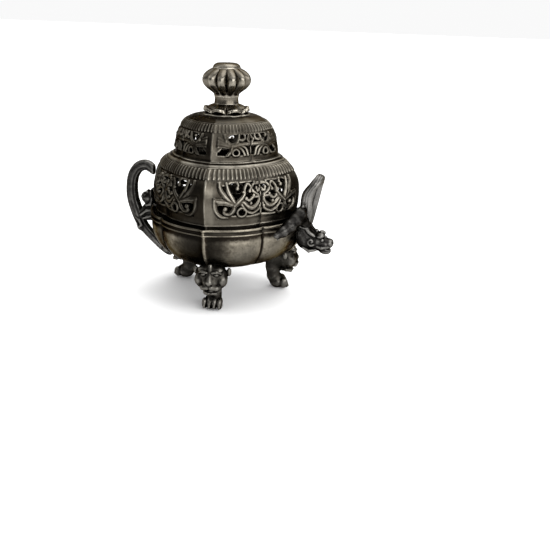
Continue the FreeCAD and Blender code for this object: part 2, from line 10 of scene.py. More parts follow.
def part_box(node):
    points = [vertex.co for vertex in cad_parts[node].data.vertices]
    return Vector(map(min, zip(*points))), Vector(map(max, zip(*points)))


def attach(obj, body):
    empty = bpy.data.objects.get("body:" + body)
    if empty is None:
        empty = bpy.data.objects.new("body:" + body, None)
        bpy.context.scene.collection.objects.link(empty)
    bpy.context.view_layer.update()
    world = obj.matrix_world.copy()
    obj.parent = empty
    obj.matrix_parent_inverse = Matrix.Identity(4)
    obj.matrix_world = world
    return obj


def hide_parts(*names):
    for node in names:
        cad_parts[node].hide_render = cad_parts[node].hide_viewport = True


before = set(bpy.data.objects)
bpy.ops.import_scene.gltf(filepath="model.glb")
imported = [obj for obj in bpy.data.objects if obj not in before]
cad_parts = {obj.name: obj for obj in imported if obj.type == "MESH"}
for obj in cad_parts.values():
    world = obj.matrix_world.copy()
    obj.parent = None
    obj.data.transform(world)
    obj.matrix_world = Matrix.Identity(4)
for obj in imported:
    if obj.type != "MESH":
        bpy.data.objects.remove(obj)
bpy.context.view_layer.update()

# Shapes are worked out in millimetres about the bowl's axis, then moved into the frame in metres.
# Azimuth is in degrees: 0 faces -Y, 90 faces +X. Lobe ridges lie at 0, 90, 180 and 270.
MM = 0.001


def low_mm(node):
    return np.array(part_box(node)[0]) / MM


def high_mm(node):
    return np.array(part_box(node)[1]) / MM


AXIS_X = (low_mm("bowl")[0] + high_mm("bowl")[0]) / 2
BOWL_FLOOR = low_mm("bowl")[2]
BOWL_RADIUS = high_mm("bowl")[1]
RIM_LOW = low_mm("bowl_rim_band")[2]
RIM_TOP = high_mm("bowl_rim_band")[2]
TIER_LOW = low_mm("lid_lower_tier")[2]
TIER_TOP = high_mm("lid_lower_tier")[2]
STEP_TOP = high_mm("lid_step_ring")[2]
DOME_TOP = high_mm("lid_upper_tier")[2]
COLLAR_TOP = high_mm("lotus_collar")[2]
NECK_TOP = high_mm("knob_neck")[2]
KNOB_TOP = high_mm("fluted_knob")[2]
BUTTON_TOP = high_mm("knob_button")[2]
ARCH_FOOT = low_mm("dragon_mane_arch")[2]

LOBE_PITCH = 90.0
LEG_TURNS = (3.5, 111.0, 245.5)


def unit(value):
    """The value, held between 0 and 1."""
    return np.clip(value, 0, 1)


def bell(value, middle, width):
    """1 at the middle, falling smoothly to nothing over about two widths."""
    return np.exp(-((value - middle) / width) ** 2)


# ---------- meshes

def to_frame(points):
    """Millimetres about the bowl's axis to metres in the frame."""
    moved = np.array(points, float)
    moved[:, 0] += AXIS_X
    return moved * MM


def polar(radius, azimuth, height):
    turn = np.radians(azimuth)
    return np.stack(np.broadcast_arrays(radius * np.sin(turn), -radius * np.cos(turn), height), -1)


def build_mesh(name, points, quads):
    mesh = bpy.data.meshes.new(name)
    mesh.vertices.add(len(points))
    mesh.vertices.foreach_set("co", np.asarray(points, np.float32).ravel())
    mesh.loops.add(quads.size)
    mesh.loops.foreach_set("vertex_index", quads.astype(np.int32).ravel())
    mesh.polygons.add(len(quads))
    mesh.polygons.foreach_set("loop_start", np.arange(0, quads.size, quads.shape[1], dtype=np.int32))
    mesh.update(calc_edges=True)
    mesh.validate()
    return mesh


def add_object(name, data):
    made = bpy.data.objects.new(name, data)
    bpy.context.scene.collection.objects.link(made)
    return made


def volume_of(points, quads):
    """Signed volume, which is negative where the faces point inwards."""
    a, b, c = points[quads[:, 0]], points[quads[:, 1]], points[quads[:, 2]]
    total = np.einsum("ij,ij->i", a, np.cross(b, c)).sum()
    if quads.shape[1] == 4:
        d = points[quads[:, 3]]
        total += np.einsum("ij,ij->i", a, np.cross(c, d)).sum()
    return total / 6


def read(items, key, width, kind=float):
    """One row of width values for each item of a mesh."""
    values = np.zeros(len(items) * width, kind)
    items.foreach_get(key, values)
    return values.reshape(-1, width)


def store(mesh, name, values):
    mesh.attributes.new(name, "FLOAT", "POINT").data.foreach_set("value", values.astype(np.float32))


def store_wear_and_shade(mesh, rounds):
    """Writes how far each point stands proud of its neighbours, for worn edges and for painted shade in the
    hollows.
    """
    count = len(mesh.vertices)
    points = read(mesh.vertices, "co", 3)
    first, second = read(mesh.edges, "vertices", 2, int).T
    links = np.bincount(first, minlength=count) + np.bincount(second, minlength=count)
    links = np.maximum(links, 1)

    def neighbours(values):
        total = np.bincount(first, values[second], count) + np.bincount(second, values[first], count)
        return total / links

    around = points
    for _ in range(rounds):
        around = np.stack([neighbours(column) for column in around.T], 1)
    proud = ((points - around) * read(mesh.vertex_normals, "vector", 3)).sum(1) / MM
    for _ in range(2):
        proud = 0.5 * proud + 0.5 * neighbours(proud)
    store(mesh, "wear_and_shade", unit(0.5 + proud / 0.30))


def store_painted_light(mesh, painted_light):
    """Writes the painted light at each point, from -1 for painted shade to 1 for a painted highlight."""
    x, y, z = read(mesh.vertices, "co", 3).T / MM
    values = painted_light(np.degrees(np.arctan2(x - AXIS_X, -y)), np.hypot(x - AXIS_X, y), z)
    store(mesh, "painted_light", np.clip(values, -1, 1))


def add_piece(name, body, slot, points, quads, replaces=(), rounds=6, weld=0.0, painted_light=None):
    """One piece of the object, from points in millimetres about the bowl's axis."""
    if volume_of(points, quads) < 0:
        quads = quads[:, ::-1]
    mesh = build_mesh(name, to_frame(points), quads)
    piece = add_object(name, mesh)
    if weld:
        shell = bmesh.new()
        shell.from_mesh(mesh)
        bmesh.ops.remove_doubles(shell, verts=shell.verts, dist=weld * MM)
        shell.to_mesh(mesh)
        shell.free()
    mesh.polygons.foreach_set("use_smooth", np.ones(len(mesh.polygons), bool))
    store_wear_and_shade(mesh, rounds)
    # Painted highlights and painted shade, on pieces that have them.
    if painted_light:
        store_painted_light(mesh, painted_light)
    mesh.materials.append(METALS[slot])
    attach(piece, body)
    if replaces:
        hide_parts(*replaces)


def ring_quads(columns, rows):
    """Quads of a grid whose columns and rows both close on themselves."""
    a, b = np.meshgrid(np.arange(columns), np.arange(rows), indexing="ij")
    next_a, next_b = (a + 1) % columns, (b + 1) % rows
    quads = [a * rows + b, next_a * rows + b, next_a * rows + next_b, a * rows + next_b]
    return np.stack(quads, -1).reshape(-1, 4)


def turned_solid(name, body, slot, profile, shape, replaces=(), columns=720, painted_light=None):
    """A closed ring: shape(azimuth, profile) gives its points for a closed half profile."""
    azimuth = np.arange(columns) * 360.0 / columns
    points = shape(azimuth[:, None], profile[None, :, :])
    add_piece(name, body, slot, points.reshape(-1, 3), ring_quads(columns, len(profile)), replaces, painted_light=painted_light)


# ---------- curves

def arc(start, end, radius, steps=12):
    """Points along the short arc of that radius, which bulges right of start to end if positive."""
    start, end = np.array(start, float), np.array(end, float)
    along = end - start
    half = np.linalg.norm(along) / 2
    side = np.array([along[1], -along[0]]) / (2 * half)
    rise = math.sqrt(max(radius * radius - half * half, 0.0))
    centre = (start + end) / 2 - side * math.copysign(rise, radius)
    first = math.atan2(*(start - centre)[::-1])
    last = math.atan2(*(end - centre)[::-1])
    sweep = (last - first + math.pi) % (2 * math.pi) - math.pi
    angles = first + sweep * np.linspace(0, 1, steps)
    return centre + abs(radius) * np.stack([np.cos(angles), np.sin(angles)], 1)


def path(*pieces):
    """Joins points and arcs into one outline, dropping repeats."""
    rows = np.concatenate([np.atleast_2d(np.array(piece, float)) for piece in pieces])
    keep = np.ones(len(rows), bool)
    keep[1:] = np.linalg.norm(np.diff(rows, axis=0), axis=1) > 1e-4
    return rows[keep]


def lengths_along(points):
    """How far each point lies from the first, measured along the outline."""
    return np.concatenate([[0], np.cumsum(np.linalg.norm(np.diff(points, axis=0), axis=1))])


def spaced(points, step):
    """The outline with a point about every step millimetres."""
    points = np.array(points, float)
    lengths = lengths_along(points)
    count = max(2, int(round(lengths[-1] / step)) + 1)
    at = np.linspace(0, lengths[-1], count)
    return np.stack([np.interp(at, lengths, column) for column in points.T], 1)


def above(level, *points):
    """Radius and height points whose heights are given from a level."""
    return [(radius, level + rise) for radius, rise in points]


def closed_profile(points, step):
    """A closed outline at even spacing, without the repeated last point."""
    return spaced(np.vstack([points, points[:1]]), step)[:-1]


def spline(points, per_span=8):
    """A smooth curve through the points."""
    points = np.array(points, float)
    ends = np.vstack([2 * points[0] - points[1], points, 2 * points[-1] - points[-2]])
    share = np.linspace(0, 1, per_span, endpoint=False)[:, None]
    rows = []
    for a, b, c, d in zip(ends, ends[1:], ends[2:], ends[3:]):
        rows.append(0.5 * (2 * b + (c - a) * share + (2 * a - 5 * b + 4 * c - d) * share ** 2
                           + (3 * b - a - 3 * c + d) * share ** 3))
    return np.vstack(rows + [points[-1:]])


# ---------- lobes

def past_ridge(azimuth):
    """Degrees past the nearest lobe ridge, -45 to 45."""
    return (azimuth + LOBE_PITCH / 2) % LOBE_PITCH - LOBE_PITCH / 2


def from_ridge(azimuth):
    """Degrees from the nearest lobe ridge, 0 to 45."""
    return np.abs(past_ridge(azimuth))


def left_lobe_shade(azimuth):
    """The lobe between the tail and the front ridge is painted blacker than the others, as painted shade.
    """
    turn = (azimuth + 180) % 360 - 180
    return unit((turn + 88) / 14) * unit((0.6 - turn) / 1.6)


def bowl_lobe(azimuth):
    """How far the bowl's wall stands out at full width: a sharp ridge, a swell and a crease."""
    ridge = from_ridge(azimuth)
    crease = LOBE_PITCH / 2 - ridge
    return 0.3 + 3.2 * np.exp(-ridge / 3.2) - 1.7 * (ridge / 35) ** 1.6 - 1.5 * np.exp(-crease / 3.0)


def lid_lobe(azimuth):
    """The same for the lid, whose corners are broader and whose creases are deeper."""
    ridge = from_ridge(azimuth)
    crease = LOBE_PITCH / 2 - ridge
    return 0.6 + 2.1 * np.exp(-ridge / 5.0) - 2.3 * (ridge / 35) ** 1.5 - 0.6 * np.exp(-crease / 4.5)


def lobed(azimuth, profile, lobe, power=1.5, strength=1.0):
    """Points of a turned profile pushed in and out by the lobes, less so towards the axis."""
    radius, height = profile[..., 0], profile[..., 1]
    share = unit(radius / BOWL_RADIUS) ** power
    return polar(radius + lobe(azimuth) * share * strength, azimuth, height)


def bowl_wall(azimuth, profile):
    return lobed(azimuth, profile, bowl_lobe)


# ---------- distance fields

def capsule(p, start, end, thick, thin):
    """Distance to a rod that runs from start to end and changes from thick to thin."""
    start, end = np.array(start, float), np.array(end, float)
    along = end - start
    share = sum((p[axis] - start[axis]) * along[axis] for axis in range(3)) / (along @ along)
    share = unit(share)
    square = sum((p[axis] - start[axis] - share * along[axis]) ** 2 for axis in range(3))
    return np.sqrt(square) - (thick + (thin - thick) * share)


def egg(p, centre, radii, turn=0.0):
    """Distance to an ellipsoid, turned about Y by an angle in degrees."""
    x, y, z = (p[axis] - centre[axis] for axis in range(3))
    cosine, sine = math.cos(math.radians(turn)), math.sin(math.radians(turn))
    x, z = x * cosine + z * sine, z * cosine - x * sine
    a, b, c = radii
    near = np.sqrt((x / a) ** 2 + (y / b) ** 2 + (z / c) ** 2) + 1e-9
    far = np.sqrt((x / a ** 2) ** 2 + (y / b ** 2) ** 2 + (z / c ** 2) ** 2)
    return near * (near - 1) / (far + 1e-9)


def join(a, b, blend):
    """Smooth union."""
    mix = unit(0.5 + 0.5 * (b - a) / blend)
    return b + (a - b) * mix - blend * mix * (1 - mix)


def carve(a, b, blend):
    """Takes b away from a, with a soft edge."""
    return -join(-a, b, blend)


def rope(p, points, radii, blend=0.6):
    """A rod through several points."""
    field = None
    for start, end, thick, thin in zip(points, points[1:], radii, radii[1:]):
        rod = capsule(p, start, end, thick, thin)
        field = rod if field is None else join(field, rod, blend)
    return field


def slab(p, outline, half_width, corner):
    """Distance to a plate whose outline lies in the XZ plane."""
    x, y, z = p
    corners = np.array(outline, float)
    near = np.full(x.shape, 1e6)
    inside = np.zeros(x.shape, bool)
    for (ax, az), (bx, bz) in zip(corners, np.roll(corners, -1, axis=0)):
        along_x, along_z = bx - ax, bz - az
        share = ((x - ax) * along_x + (z - az) * along_z) / (along_x ** 2 + along_z ** 2)
        share = unit(share)
        near = np.minimum(near, (x - ax - share * along_x) ** 2 + (z - az - share * along_z) ** 2)
        if along_z:
            crosses = ((az > z) != (bz > z)) & (x < along_x * (z - az) / along_z + ax)
            inside ^= crosses
    flat = np.where(inside, -1.0, 1.0) * np.sqrt(near) + corner
    side = np.abs(y) - half_width + corner
    return (np.minimum(np.maximum(flat, side), 0)
            + np.hypot(np.maximum(flat, 0), np.maximum(side, 0)) - corner)


class Clay:
    """A form in a distance field, which shapes are added to and cut from with soft edges."""

    def __init__(self, p, kind, *shape):
        self.p = p
        self.field = kind(p, *shape)

    def add(self, kind, blend, *shape):
        self.field = join(self.field, kind(self.p, *shape), blend)

    def cut(self, kind, blend, *shape):
        self.field = carve(self.field, kind(self.p, *shape), blend)

    def sides(self):
        """Runs a loop once for each side, the first time with Y mirrored."""
        x, y, z = self.p
        for side in (-1, 1):
            self.p = (x, y * side, z)
            yield


def field_mesh(field, low, voxel):
    """Points and quads where a sampled field is zero; the field is negative inside."""
    grid = openvdb.FloatGrid(float(voxel))
    grid.copyFromArray(np.ascontiguousarray(field, np.float32))
    points, quads = grid.convertToQuads(0.0)
    return np.array(points, float) * voxel + np.array(low, float), np.array(quads, np.int64)


def sculpt(low, high, voxel, shape):
    """Meshes shape(p), a distance field in millimetres, inside a box."""
    axes = [np.arange(a - 2 * voxel, b + 3 * voxel, voxel) for a, b in zip(low, high)]
    p = np.meshgrid(*axes, indexing="ij")
    field = shape(p)
    for axis in range(3):
        for side in (0, -1):
            np.moveaxis(field, axis, 0)[side] = voxel
    return field_mesh(field, [axis[0] for axis in axes], voxel)


def turn_points(points, azimuth):
    """Turns points made with +X outwards so that they face the azimuth."""
    angle = math.radians(azimuth - 90.0)
    cosine, sine = math.cos(angle), math.sin(angle)
    x, y, z = points.T
    return np.stack([x * cosine - y * sine, x * sine + y * cosine, z], 1)


# ---------- materials

def node(tree, kind, **settings):
    made = tree.nodes.new(kind)
    for key, setting in settings.items():
        setattr(made, key, setting)
    return made


def ramp(tree, source, stops):
    made = node(tree, "ShaderNodeValToRGB")
    elements = made.color_ramp.elements
    while len(elements) < len(stops):
        elements.new(0.5)
    for element, (place, colour) in zip(elements, stops):
        element.position = place
        element.color = (*colour, 1.0)
    tree.links.new(source, made.inputs["Fac"])
    return made.outputs["Color"]


def noise(tree, place, scale, detail, roughness):
    made = node(tree, "ShaderNodeTexNoise")
    made.inputs["Scale"].default_value = scale
    made.inputs["Detail"].default_value = detail
    made.inputs["Roughness"].default_value = roughness
    tree.links.new(place, made.inputs["Vector"])
    return made.outputs["Fac"]


def feed(tree, socket, source):
    """Links a socket to another one, or sets it to a number or a colour."""
    if isinstance(source, bpy.types.NodeSocket):
        tree.links.new(source, socket)
    elif isinstance(source, tuple):
        socket.default_value = (*source, 1.0)
    else:
        socket.default_value = source


def blended(tree, mode, share, first, second):
    made = node(tree, "ShaderNodeMix", data_type="RGBA", blend_type=mode)
    for number, source in ((0, share), (6, first), (7, second)):
        feed(tree, made.inputs[number], source)
    return made.outputs[2]


def sums(tree, operation, first, second):
    made = node(tree, "ShaderNodeMath", operation=operation)
    for socket, source in zip(made.inputs, (first, second)):
        feed(tree, socket, source)
    return made.outputs[0]


def grey(value):
    return (value, value, value)


# The first two are the colours of painted shade and of painted highlights.
SHADE_COLOUR = (0.006, 0.0052, 0.0042)
HIGHLIGHT_COLOUR = (0.13, 0.118, 0.096)
EDGE_TINT = (0.30, 0.28, 0.25)


def aged_metal(name, hollow_shade, body, worn, tint, rough=(0.30, 0.62), relief=0.35, patina=0.35,
               highlight=HIGHLIGHT_COLOUR):
    """Bronze: black in hollows as painted shade, bright on worn edges, blotched, and given painted
    highlights and painted shade by its painted light attribute.
    """
    material = bpy.data.materials.new(name)
    material.use_nodes = True
    tree = material.node_tree
    shader = tree.nodes["Principled BSDF"]
    place = node(tree, "ShaderNodeTexCoord").outputs["Object"]
    wear_and_shade = node(tree, "ShaderNodeAttribute", attribute_name="wear_and_shade").outputs["Fac"]
    blotch = noise(tree, place, 55.0, 5.0, 0.6)
    grain = noise(tree, place, 420.0, 6.0, 0.65)
    speck = noise(tree, place, 1500.0, 3.0, 0.6)
    # Hollows take the darkest colour as painted shade, and proud edges take the worn colour.
    shifted = sums(tree, "ADD", wear_and_shade, sums(tree, "MULTIPLY", sums(tree, "SUBTRACT", grain, 0.5), 0.35))
    metal = ramp(tree, shifted, [(0.28, hollow_shade), (0.47, body), (0.60, body), (0.86, worn)])
    cover = ramp(tree, blotch, [(0.46, grey(0.0)), (0.68, grey(patina))])
    metal = blended(tree, "MIX", cover, metal, tint)
    shade = ramp(tree, noise(tree, place, 130.0, 4.0, 0.6), [(0.30, grey(0.72)), (0.70, grey(1.12))])
    metal = blended(tree, "MULTIPLY", 1.0, metal, shade)
    # Painted light: where the attribute is positive the highlight colour is mixed in as a painted
    # highlight, and where it is negative the shade colour is mixed in as painted shade.
    painted_light = node(tree, "ShaderNodeAttribute", attribute_name="painted_light").outputs["Fac"]
    uneven = ramp(tree, noise(tree, place, 75.0, 5.0, 0.62), [(0.38, grey(0.35)), (0.62, grey(1.0))])
    painted_highlight = sums(tree, "MULTIPLY", sums(tree, "MAXIMUM", painted_light, 0.0), uneven)
    metal = blended(tree, "MIX", painted_highlight, metal, highlight)
    painted_shade = sums(tree, "MAXIMUM", sums(tree, "MULTIPLY", painted_light, -1.0), 0.0)
    metal = blended(tree, "MIX", painted_shade, metal, SHADE_COLOUR)
    tree.links.new(metal, shader.inputs["Base Color"])
    shader.inputs["Metallic"].default_value = 1.0
    shader.inputs["Specular Tint"].default_value = (*EDGE_TINT, 1.0)
    gloss = sums(tree, "ADD", sums(tree, "MULTIPLY", grain, 0.6), sums(tree, "MULTIPLY", blotch, 0.5))
    tree.links.new(ramp(tree, gloss, [(0.40, grey(rough[0])), (0.72, grey(rough[1]))]),
                   shader.inputs["Roughness"])
    bump = node(tree, "ShaderNodeBump")
    bump.inputs["Strength"].default_value = relief
    bump.inputs["Distance"].default_value = 0.0004
    height = sums(tree, "ADD", grain, sums(tree, "MULTIPLY", speck, 0.35))
    tree.links.new(height, bump.inputs["Height"])
    tree.links.new(bump.outputs["Normal"], shader.inputs["Normal"])
    return material


# The first colour of each metal is the painted shade in its hollows.
METALS = {
    # The bowl's body colour is darkened far below the lid's as painted shade.
    "silvered_bronze": aged_metal(
        "bowl_metal", (0.005, 0.0040, 0.0030), (0.0165, 0.0132, 0.0098), (0.24, 0.215, 0.17),
        (0.010, 0.007, 0.0045), rough=(0.24, 0.42), relief=0.2, patina=0.8),
    "lid_bronze": aged_metal(
        "lid_metal", (0.005, 0.0042, 0.0035), (0.046, 0.040, 0.031), (0.26, 0.24, 0.20),
        (0.018, 0.014, 0.009), rough=(0.27, 0.46), patina=0.8),
    "leg_bronze": aged_metal(
        "leg_metal", (0.005, 0.0046, 0.0042), (0.038, 0.035, 0.030), (0.15, 0.142, 0.126),
        (0.018, 0.016, 0.013), rough=(0.25, 0.45), relief=0.25),
    # Its highlight colour is for the painted highlight on the mane.
    "handle_bronze": aged_metal(
        "handle_metal", (0.004, 0.0038, 0.0036), (0.017, 0.016, 0.015), (0.15, 0.145, 0.135),
        (0.011, 0.0105, 0.010), rough=(0.25, 0.42), relief=0.2, highlight=(0.17, 0.164, 0.155)),
    "knob_bronze": aged_metal(
        "knob_metal", (0.012, 0.009, 0.008), (0.125, 0.112, 0.090), (0.40, 0.37, 0.31),
        (0.045, 0.035, 0.026), rough=(0.2, 0.38), relief=0.2, patina=0.7),
}
FIXING_METAL = aged_metal("fixing_metal", (0.02, 0.015, 0.008), (0.12, 0.09, 0.05), (0.30, 0.24, 0.14),
                          (0.05, 0.036, 0.02))


# ---------- bowl

def make_bowl():
    wall = 3.0
    outside = path((0.02, BOWL_FLOOR), arc((31, BOWL_FLOOR), (56, 54), 25, 20),
                   (55.4, RIM_LOW), (55.0, RIM_TOP - 2.2))
    inside = path((51.6, RIM_TOP - 2.2), (52.2, RIM_LOW), arc((53, 54), (31, BOWL_FLOOR + wall), -22, 20),
                  (0.02, BOWL_FLOOR + wall))
    profile = closed_profile(path(outside, inside), 1.0)

    # Painted light on the bowl: a painted highlight on each lobe's swell at mid height, painted shade
    # beside each ridge, and painted shade over the lobe between the tail and the front ridge.
    def bowl_light(azimuth, radius, height):
        across = bell(from_ridge(azimuth), 30, 9.0)
        highlit = 1.15 * across * bell(height, 42, 7.5) * (radius > 36)
        ridge_shade = 0.85 * np.exp(-(from_ridge(azimuth) / 17) ** 4) * (from_ridge(azimuth) > 2.5)
        return highlit * (1 - 0.4 * left_lobe_shade(azimuth)) - np.maximum(0.95 * left_lobe_shade(azimuth) * (1 - across), ridge_shade)

    turned_solid("bowl_shell", "base", "silvered_bronze", profile, bowl_wall, ("bowl",), painted_light=bowl_light)


def make_rim_band():
    step = RIM_LOW + 3.0
    profile = path((54.8, RIM_LOW - 0.5), (56.2, RIM_LOW - 0.4),
                   arc((56.2, RIM_LOW - 0.4), (56.9, RIM_LOW + 0.5), 0.75, 5),
                   (56.3, RIM_LOW + 1.1), (56.2, step - 0.4), (56.8, step + 0.2),
                   arc((57.0, step + 0.8), (56.2, RIM_TOP - 0.8), 1.0, 7),
                   (55.4, RIM_TOP - 1.4), (54.8, RIM_TOP - 1.9), (51.4, RIM_TOP - 1.9),
                   (51.6, RIM_TOP - 2.8), (54.6, RIM_TOP - 2.8))
    # The rim is lightened slightly all round and given painted shade on the lobe between the tail and the
    # front ridge.
    turned_solid("bowl_rim", "base", "silvered_bronze", closed_profile(profile, 0.3), bowl_wall,
                 ("bowl_rim_band",), painted_light=lambda azimuth, radius, height: 0.15 - 0.7 * left_lobe_shade(azimuth))


# ---------- pierced lid

def along_profile(points, distance):
    """Radius, height and outward normal at distances along a half profile."""
    lengths = lengths_along(points)

    def at(places):
        return [np.interp(places, lengths, column) for column in points.T]

    step = 0.8
    radius, height = at(distance)
    d_radius, d_height = np.subtract(at(distance + step), at(distance - step))
    size = np.hypot(d_radius, d_height) + 1e-9
    return radius, height, d_height / size, -d_radius / size


def stroke(x, y, points, widths):
    """Distance to the edge of a tapering line, negative inside it, and its half width there."""
    curve = spaced(points, 0.35)
    width = np.interp(np.linspace(0, 1, len(curve)), np.linspace(0, 1, len(widths)), widths)
    edge = np.full(x.shape, 1e3)
    size = np.ones(x.shape)
    for (cx, cy), half in zip(curve, width / 2):
        distance = np.hypot(x - cx, y - cy) - half
        size = np.where(distance < edge, half, size)
        edge = np.minimum(edge, distance)
    return edge, size


def rounded(edge, size):
    """Relief of a strand from 0 at its edge to 1 along its middle, with a fine vein on each side."""
    share = unit(-edge / size)
    vein = bell(share, 0.42, 0.13) * unit((size - 0.9) / 0.6)
    return np.sqrt(1 - (1 - share) ** 2) - 0.34 * vein


def scroll_panel(x, y, width, height, fillers, strokes, knobs, rings):
    """Edge distance and relief of leafy scrollwork, in a panel that is width by height."""
    def line(points, widths):
        spots = spline([(px * width, py * height) for px, py in points], 8)
        return stroke(x, y, spots, widths)

    edges, reliefs = [], []
    for filler in fillers:
        edge, size = line(*filler)
        edges.append(edge)
        reliefs.append(0.05 * (edge < 0))
    for number, scroll in enumerate(strokes):
        edge, size = line(*scroll)
        edges.append(edge)
        reliefs.append((0.85 + 0.12 * (number % 3)) * rounded(edge, size) * (edge < 0))
    for px, py, radius, thick in rings:
        edge = np.abs(np.hypot(x - px * width, y - py * height) - radius) - thick / 2
        edges.append(edge)
        reliefs.append(1.15 * rounded(edge, thick / 2) * (edge < 0))
    for px, py, radius in knobs:
        edge = np.hypot(x - px * width, y - py * height) - radius
        edges.append(edge)
        reliefs.append(1.3 * np.sqrt(unit(1 - (1 - unit(-edge / radius)) ** 2)) * (edge < 0))
    inside = np.minimum.reduce([x + 0.6, width + 0.6 - x, y + 0.2, height + 0.2 - y])
    relief = np.maximum.reduce(reliefs) * unit(inside / 0.9)
    return np.minimum.reduce(edges), relief


# Scrolls of one panel, from its ridge side (0) to its crease side (1) and from its foot (0) to its
# top (1), with the widths in millimetres from one end of the line to the other.
LOWER_FILLERS = (
    (((0.10, 0.98), (0.22, 0.99), (0.34, 1.02)), (6.0, 6.0, 4.0)),
    (((-0.02, 0.42), (0.01, 0.70), (0.02, 1.02)), (6.0, 7.0, 7.0)),
    (((0.08, 0.42), (0.10, 0.60), (0.06, 0.86)), (4.0, 6.0, 5.0)),
    (((0.0, 1.0), (0.30, 1.02), (0.60, 1.0), (1.0, 1.02)), (4.0, 3.4, 2.6, 3.2)),
    (((0.0, 0.02), (0.02, 0.10), (0.04, 0.20)), (6.0, 5.0, 3.0)),
    (((0.22, -0.02), (0.45, 0.02), (0.70, 0.0), (1.0, 0.0)), (4.0, 3.4, 3.0, 4.6)),
)
LOWER_STROKES = (
    (((0.42, 0.36), (0.30, 0.50), (0.19, 0.66), (0.12, 0.82), (0.10, 1.00)), (4.0, 3.6, 3.2, 2.8)),
    (((0.43, 0.40), (0.36, 0.56), (0.29, 0.74), (0.25, 0.94)), (3.0, 3.2, 2.8, 2.2)),
    (((0.42, 0.36), (0.54, 0.50), (0.62, 0.64), (0.64, 0.80), (0.71, 0.91), (0.78, 0.83), (0.75, 0.74)),
     (4.0, 3.2, 2.6, 2.4, 2.2)),
    (((0.42, 0.38), (0.58, 0.43), (0.71, 0.31), (0.84, 0.28), (0.95, 0.42), (0.95, 0.58), (0.86, 0.67),
      (0.80, 0.78), (0.86, 0.90), (1.0, 0.92)), (4.2, 3.4, 3.8, 2.8, 2.4, 2.6)),
    (((0.95, 0.55), (0.83, 0.56), (0.73, 0.48), (0.66, 0.52)), (2.2, 2.6, 2.0)),
    (((0.56, 0.38), (0.66, 0.20), (0.80, 0.13), (0.94, 0.22), (1.0, 0.36)), (3.0, 2.6, 2.4)),
    (((0.42, 0.36), (0.39, 0.22), (0.31, 0.12), (0.22, 0.15), (0.22, 0.25)), (3.4, 3.0, 2.6)),
    (((-0.02, 0.50), (0.10, 0.46), (0.24, 0.44), (0.38, 0.38)), (3.6, 4.6, 4.4, 3.4)),
    (((0.02, 0.48), (0.04, 0.25), (0.12, 0.08), (0.26, -0.02)), (4.0, 2.8, 3.4)),
    (((0.46, 1.0), (0.50, 0.90), (0.48, 0.82)), (2.6, 2.0, 1.8)),
    (((1.0, 0.74), (0.93, 0.70), (0.92, 0.78)), (2.8, 1.8, 1.6)),
)
LOWER_KNOBS = (
    (0.48, 0.80, 1.5), (0.745, 0.72, 1.5), (0.66, 0.53, 1.5), (0.76, 0.40, 1.3), (0.83, 0.60, 1.4),
    (0.23, 0.27, 1.7), (0.91, 0.79, 1.3), (0.97, 0.30, 1.3), (0.60, 0.70, 1.1), (0.87, 0.95, 1.2),
)
LOWER_RINGS = ((0.565, 0.17, 3.1, 2.0),)
UPPER_FILLERS = (
    (((0.12, 0.96), (0.24, 0.98), (0.34, 1.04)), (7.0, 5.0, 4.0)),
    (((-0.02, 0.34), (0.04, 0.60), (0.06, 1.02)), (5.0, 8.5, 9.0)),
    (((0.0, 1.0), (0.5, 1.04), (1.0, 1.02)), (3.0, 2.4, 2.6)),
    (((0.0, -0.04), (0.5, -0.04), (1.0, -0.02)), (3.0, 2.8, 3.2)),
)
UPPER_STROKES = (
    (((0.42, 0.42), (0.31, 0.58), (0.22, 0.78), (0.18, 1.0)), (4.0, 3.0, 2.4)),
    (((0.42, 0.42), (0.55, 0.58), (0.62, 0.76), (0.66, 0.98)), (3.6, 2.8, 2.2)),
    (((0.42, 0.44), (0.60, 0.50), (0.78, 0.52), (1.0, 0.54)), (5.0, 3.2, 2.8)),
    (((0.56, 0.46), (0.70, 0.32), (0.78, 0.12), (0.80, -0.02)), (3.2, 2.2, 2.2)),
    (((0.66, 0.50), (0.84, 0.34), (0.91, 0.02)), (2.2, 2.0, 2.2)),
    (((0.42, 0.42), (0.38, 0.22), (0.30, 0.08), (0.26, -0.04)), (4.0, 3.0, 3.0)),
    (((-0.02, 0.62), (0.12, 0.58), (0.26, 0.50), (0.40, 0.44)), (8.0, 6.0, 4.6, 4.0)),
    (((0.62, 0.76), (0.74, 0.70), (0.84, 0.80), (0.82, 1.0)), (2.2, 2.0, 2.2)),
    (((1.0, 0.56), (0.93, 0.72), (1.0, 0.92)), (2.8, 2.0, 2.6)),
)
UPPER_KNOBS = ((0.75, 0.71, 1.2), (0.92, 0.74, 1.2), (0.24, 0.66, 1.3), (0.42, 0.84, 1.1))
UPPER_RINGS = ((0.52, 0.17, 2.3, 1.8),)


def lappets(ridge, v, low, high, count):
    """Relief of a row of tongues with round lower ends between two heights, count to each panel."""
    pitch = LOBE_PITCH / 2 / count
    across = ((ridge + 1e-6) % pitch) / pitch * 2 - 1
    share = unit((v - low) / (high - low))
    half = 0.9 * np.sqrt(np.clip(1 - (1 - np.clip(share / 0.30, 0.02, 1)) ** 2, 0.02, 1))
    place = np.abs(across) / half
    tongue = np.sqrt(unit(1 - place ** 2))
    line = bell(place, 0.60, 0.14)
    return 0.02 + 0.72 * tongue - 0.34 * line


def tier_light(foot, band_top, crown):
    """Painted highlights on the strip just past each ridge, along the foot past each ridge and towards the
    top, and painted shade on the lobe between the tail and the front ridge.
    """
    def lighting(azimuth, radius, height):
        turn = past_ridge(azimuth)
        strip = unit((turn + 0.8) / 1.0) * unit((9.0 - turn) / 4.0)
        low = unit((band_top - height) / 3.0) * unit((turn + 0.8) / 1.0)
        plain = unit((foot + 30 - height) / 6.0)
        high = crown * unit((height - foot - 28) / 4.0)
        highlit = np.maximum.reduce([0.85 * strip * plain, 0.40 * low, high + 0 * turn])
        return highlit * (1 - 0.8 * left_lobe_shade(azimuth)) - 0.66 * left_lobe_shade(azimuth) * (1 - high)
    return lighting


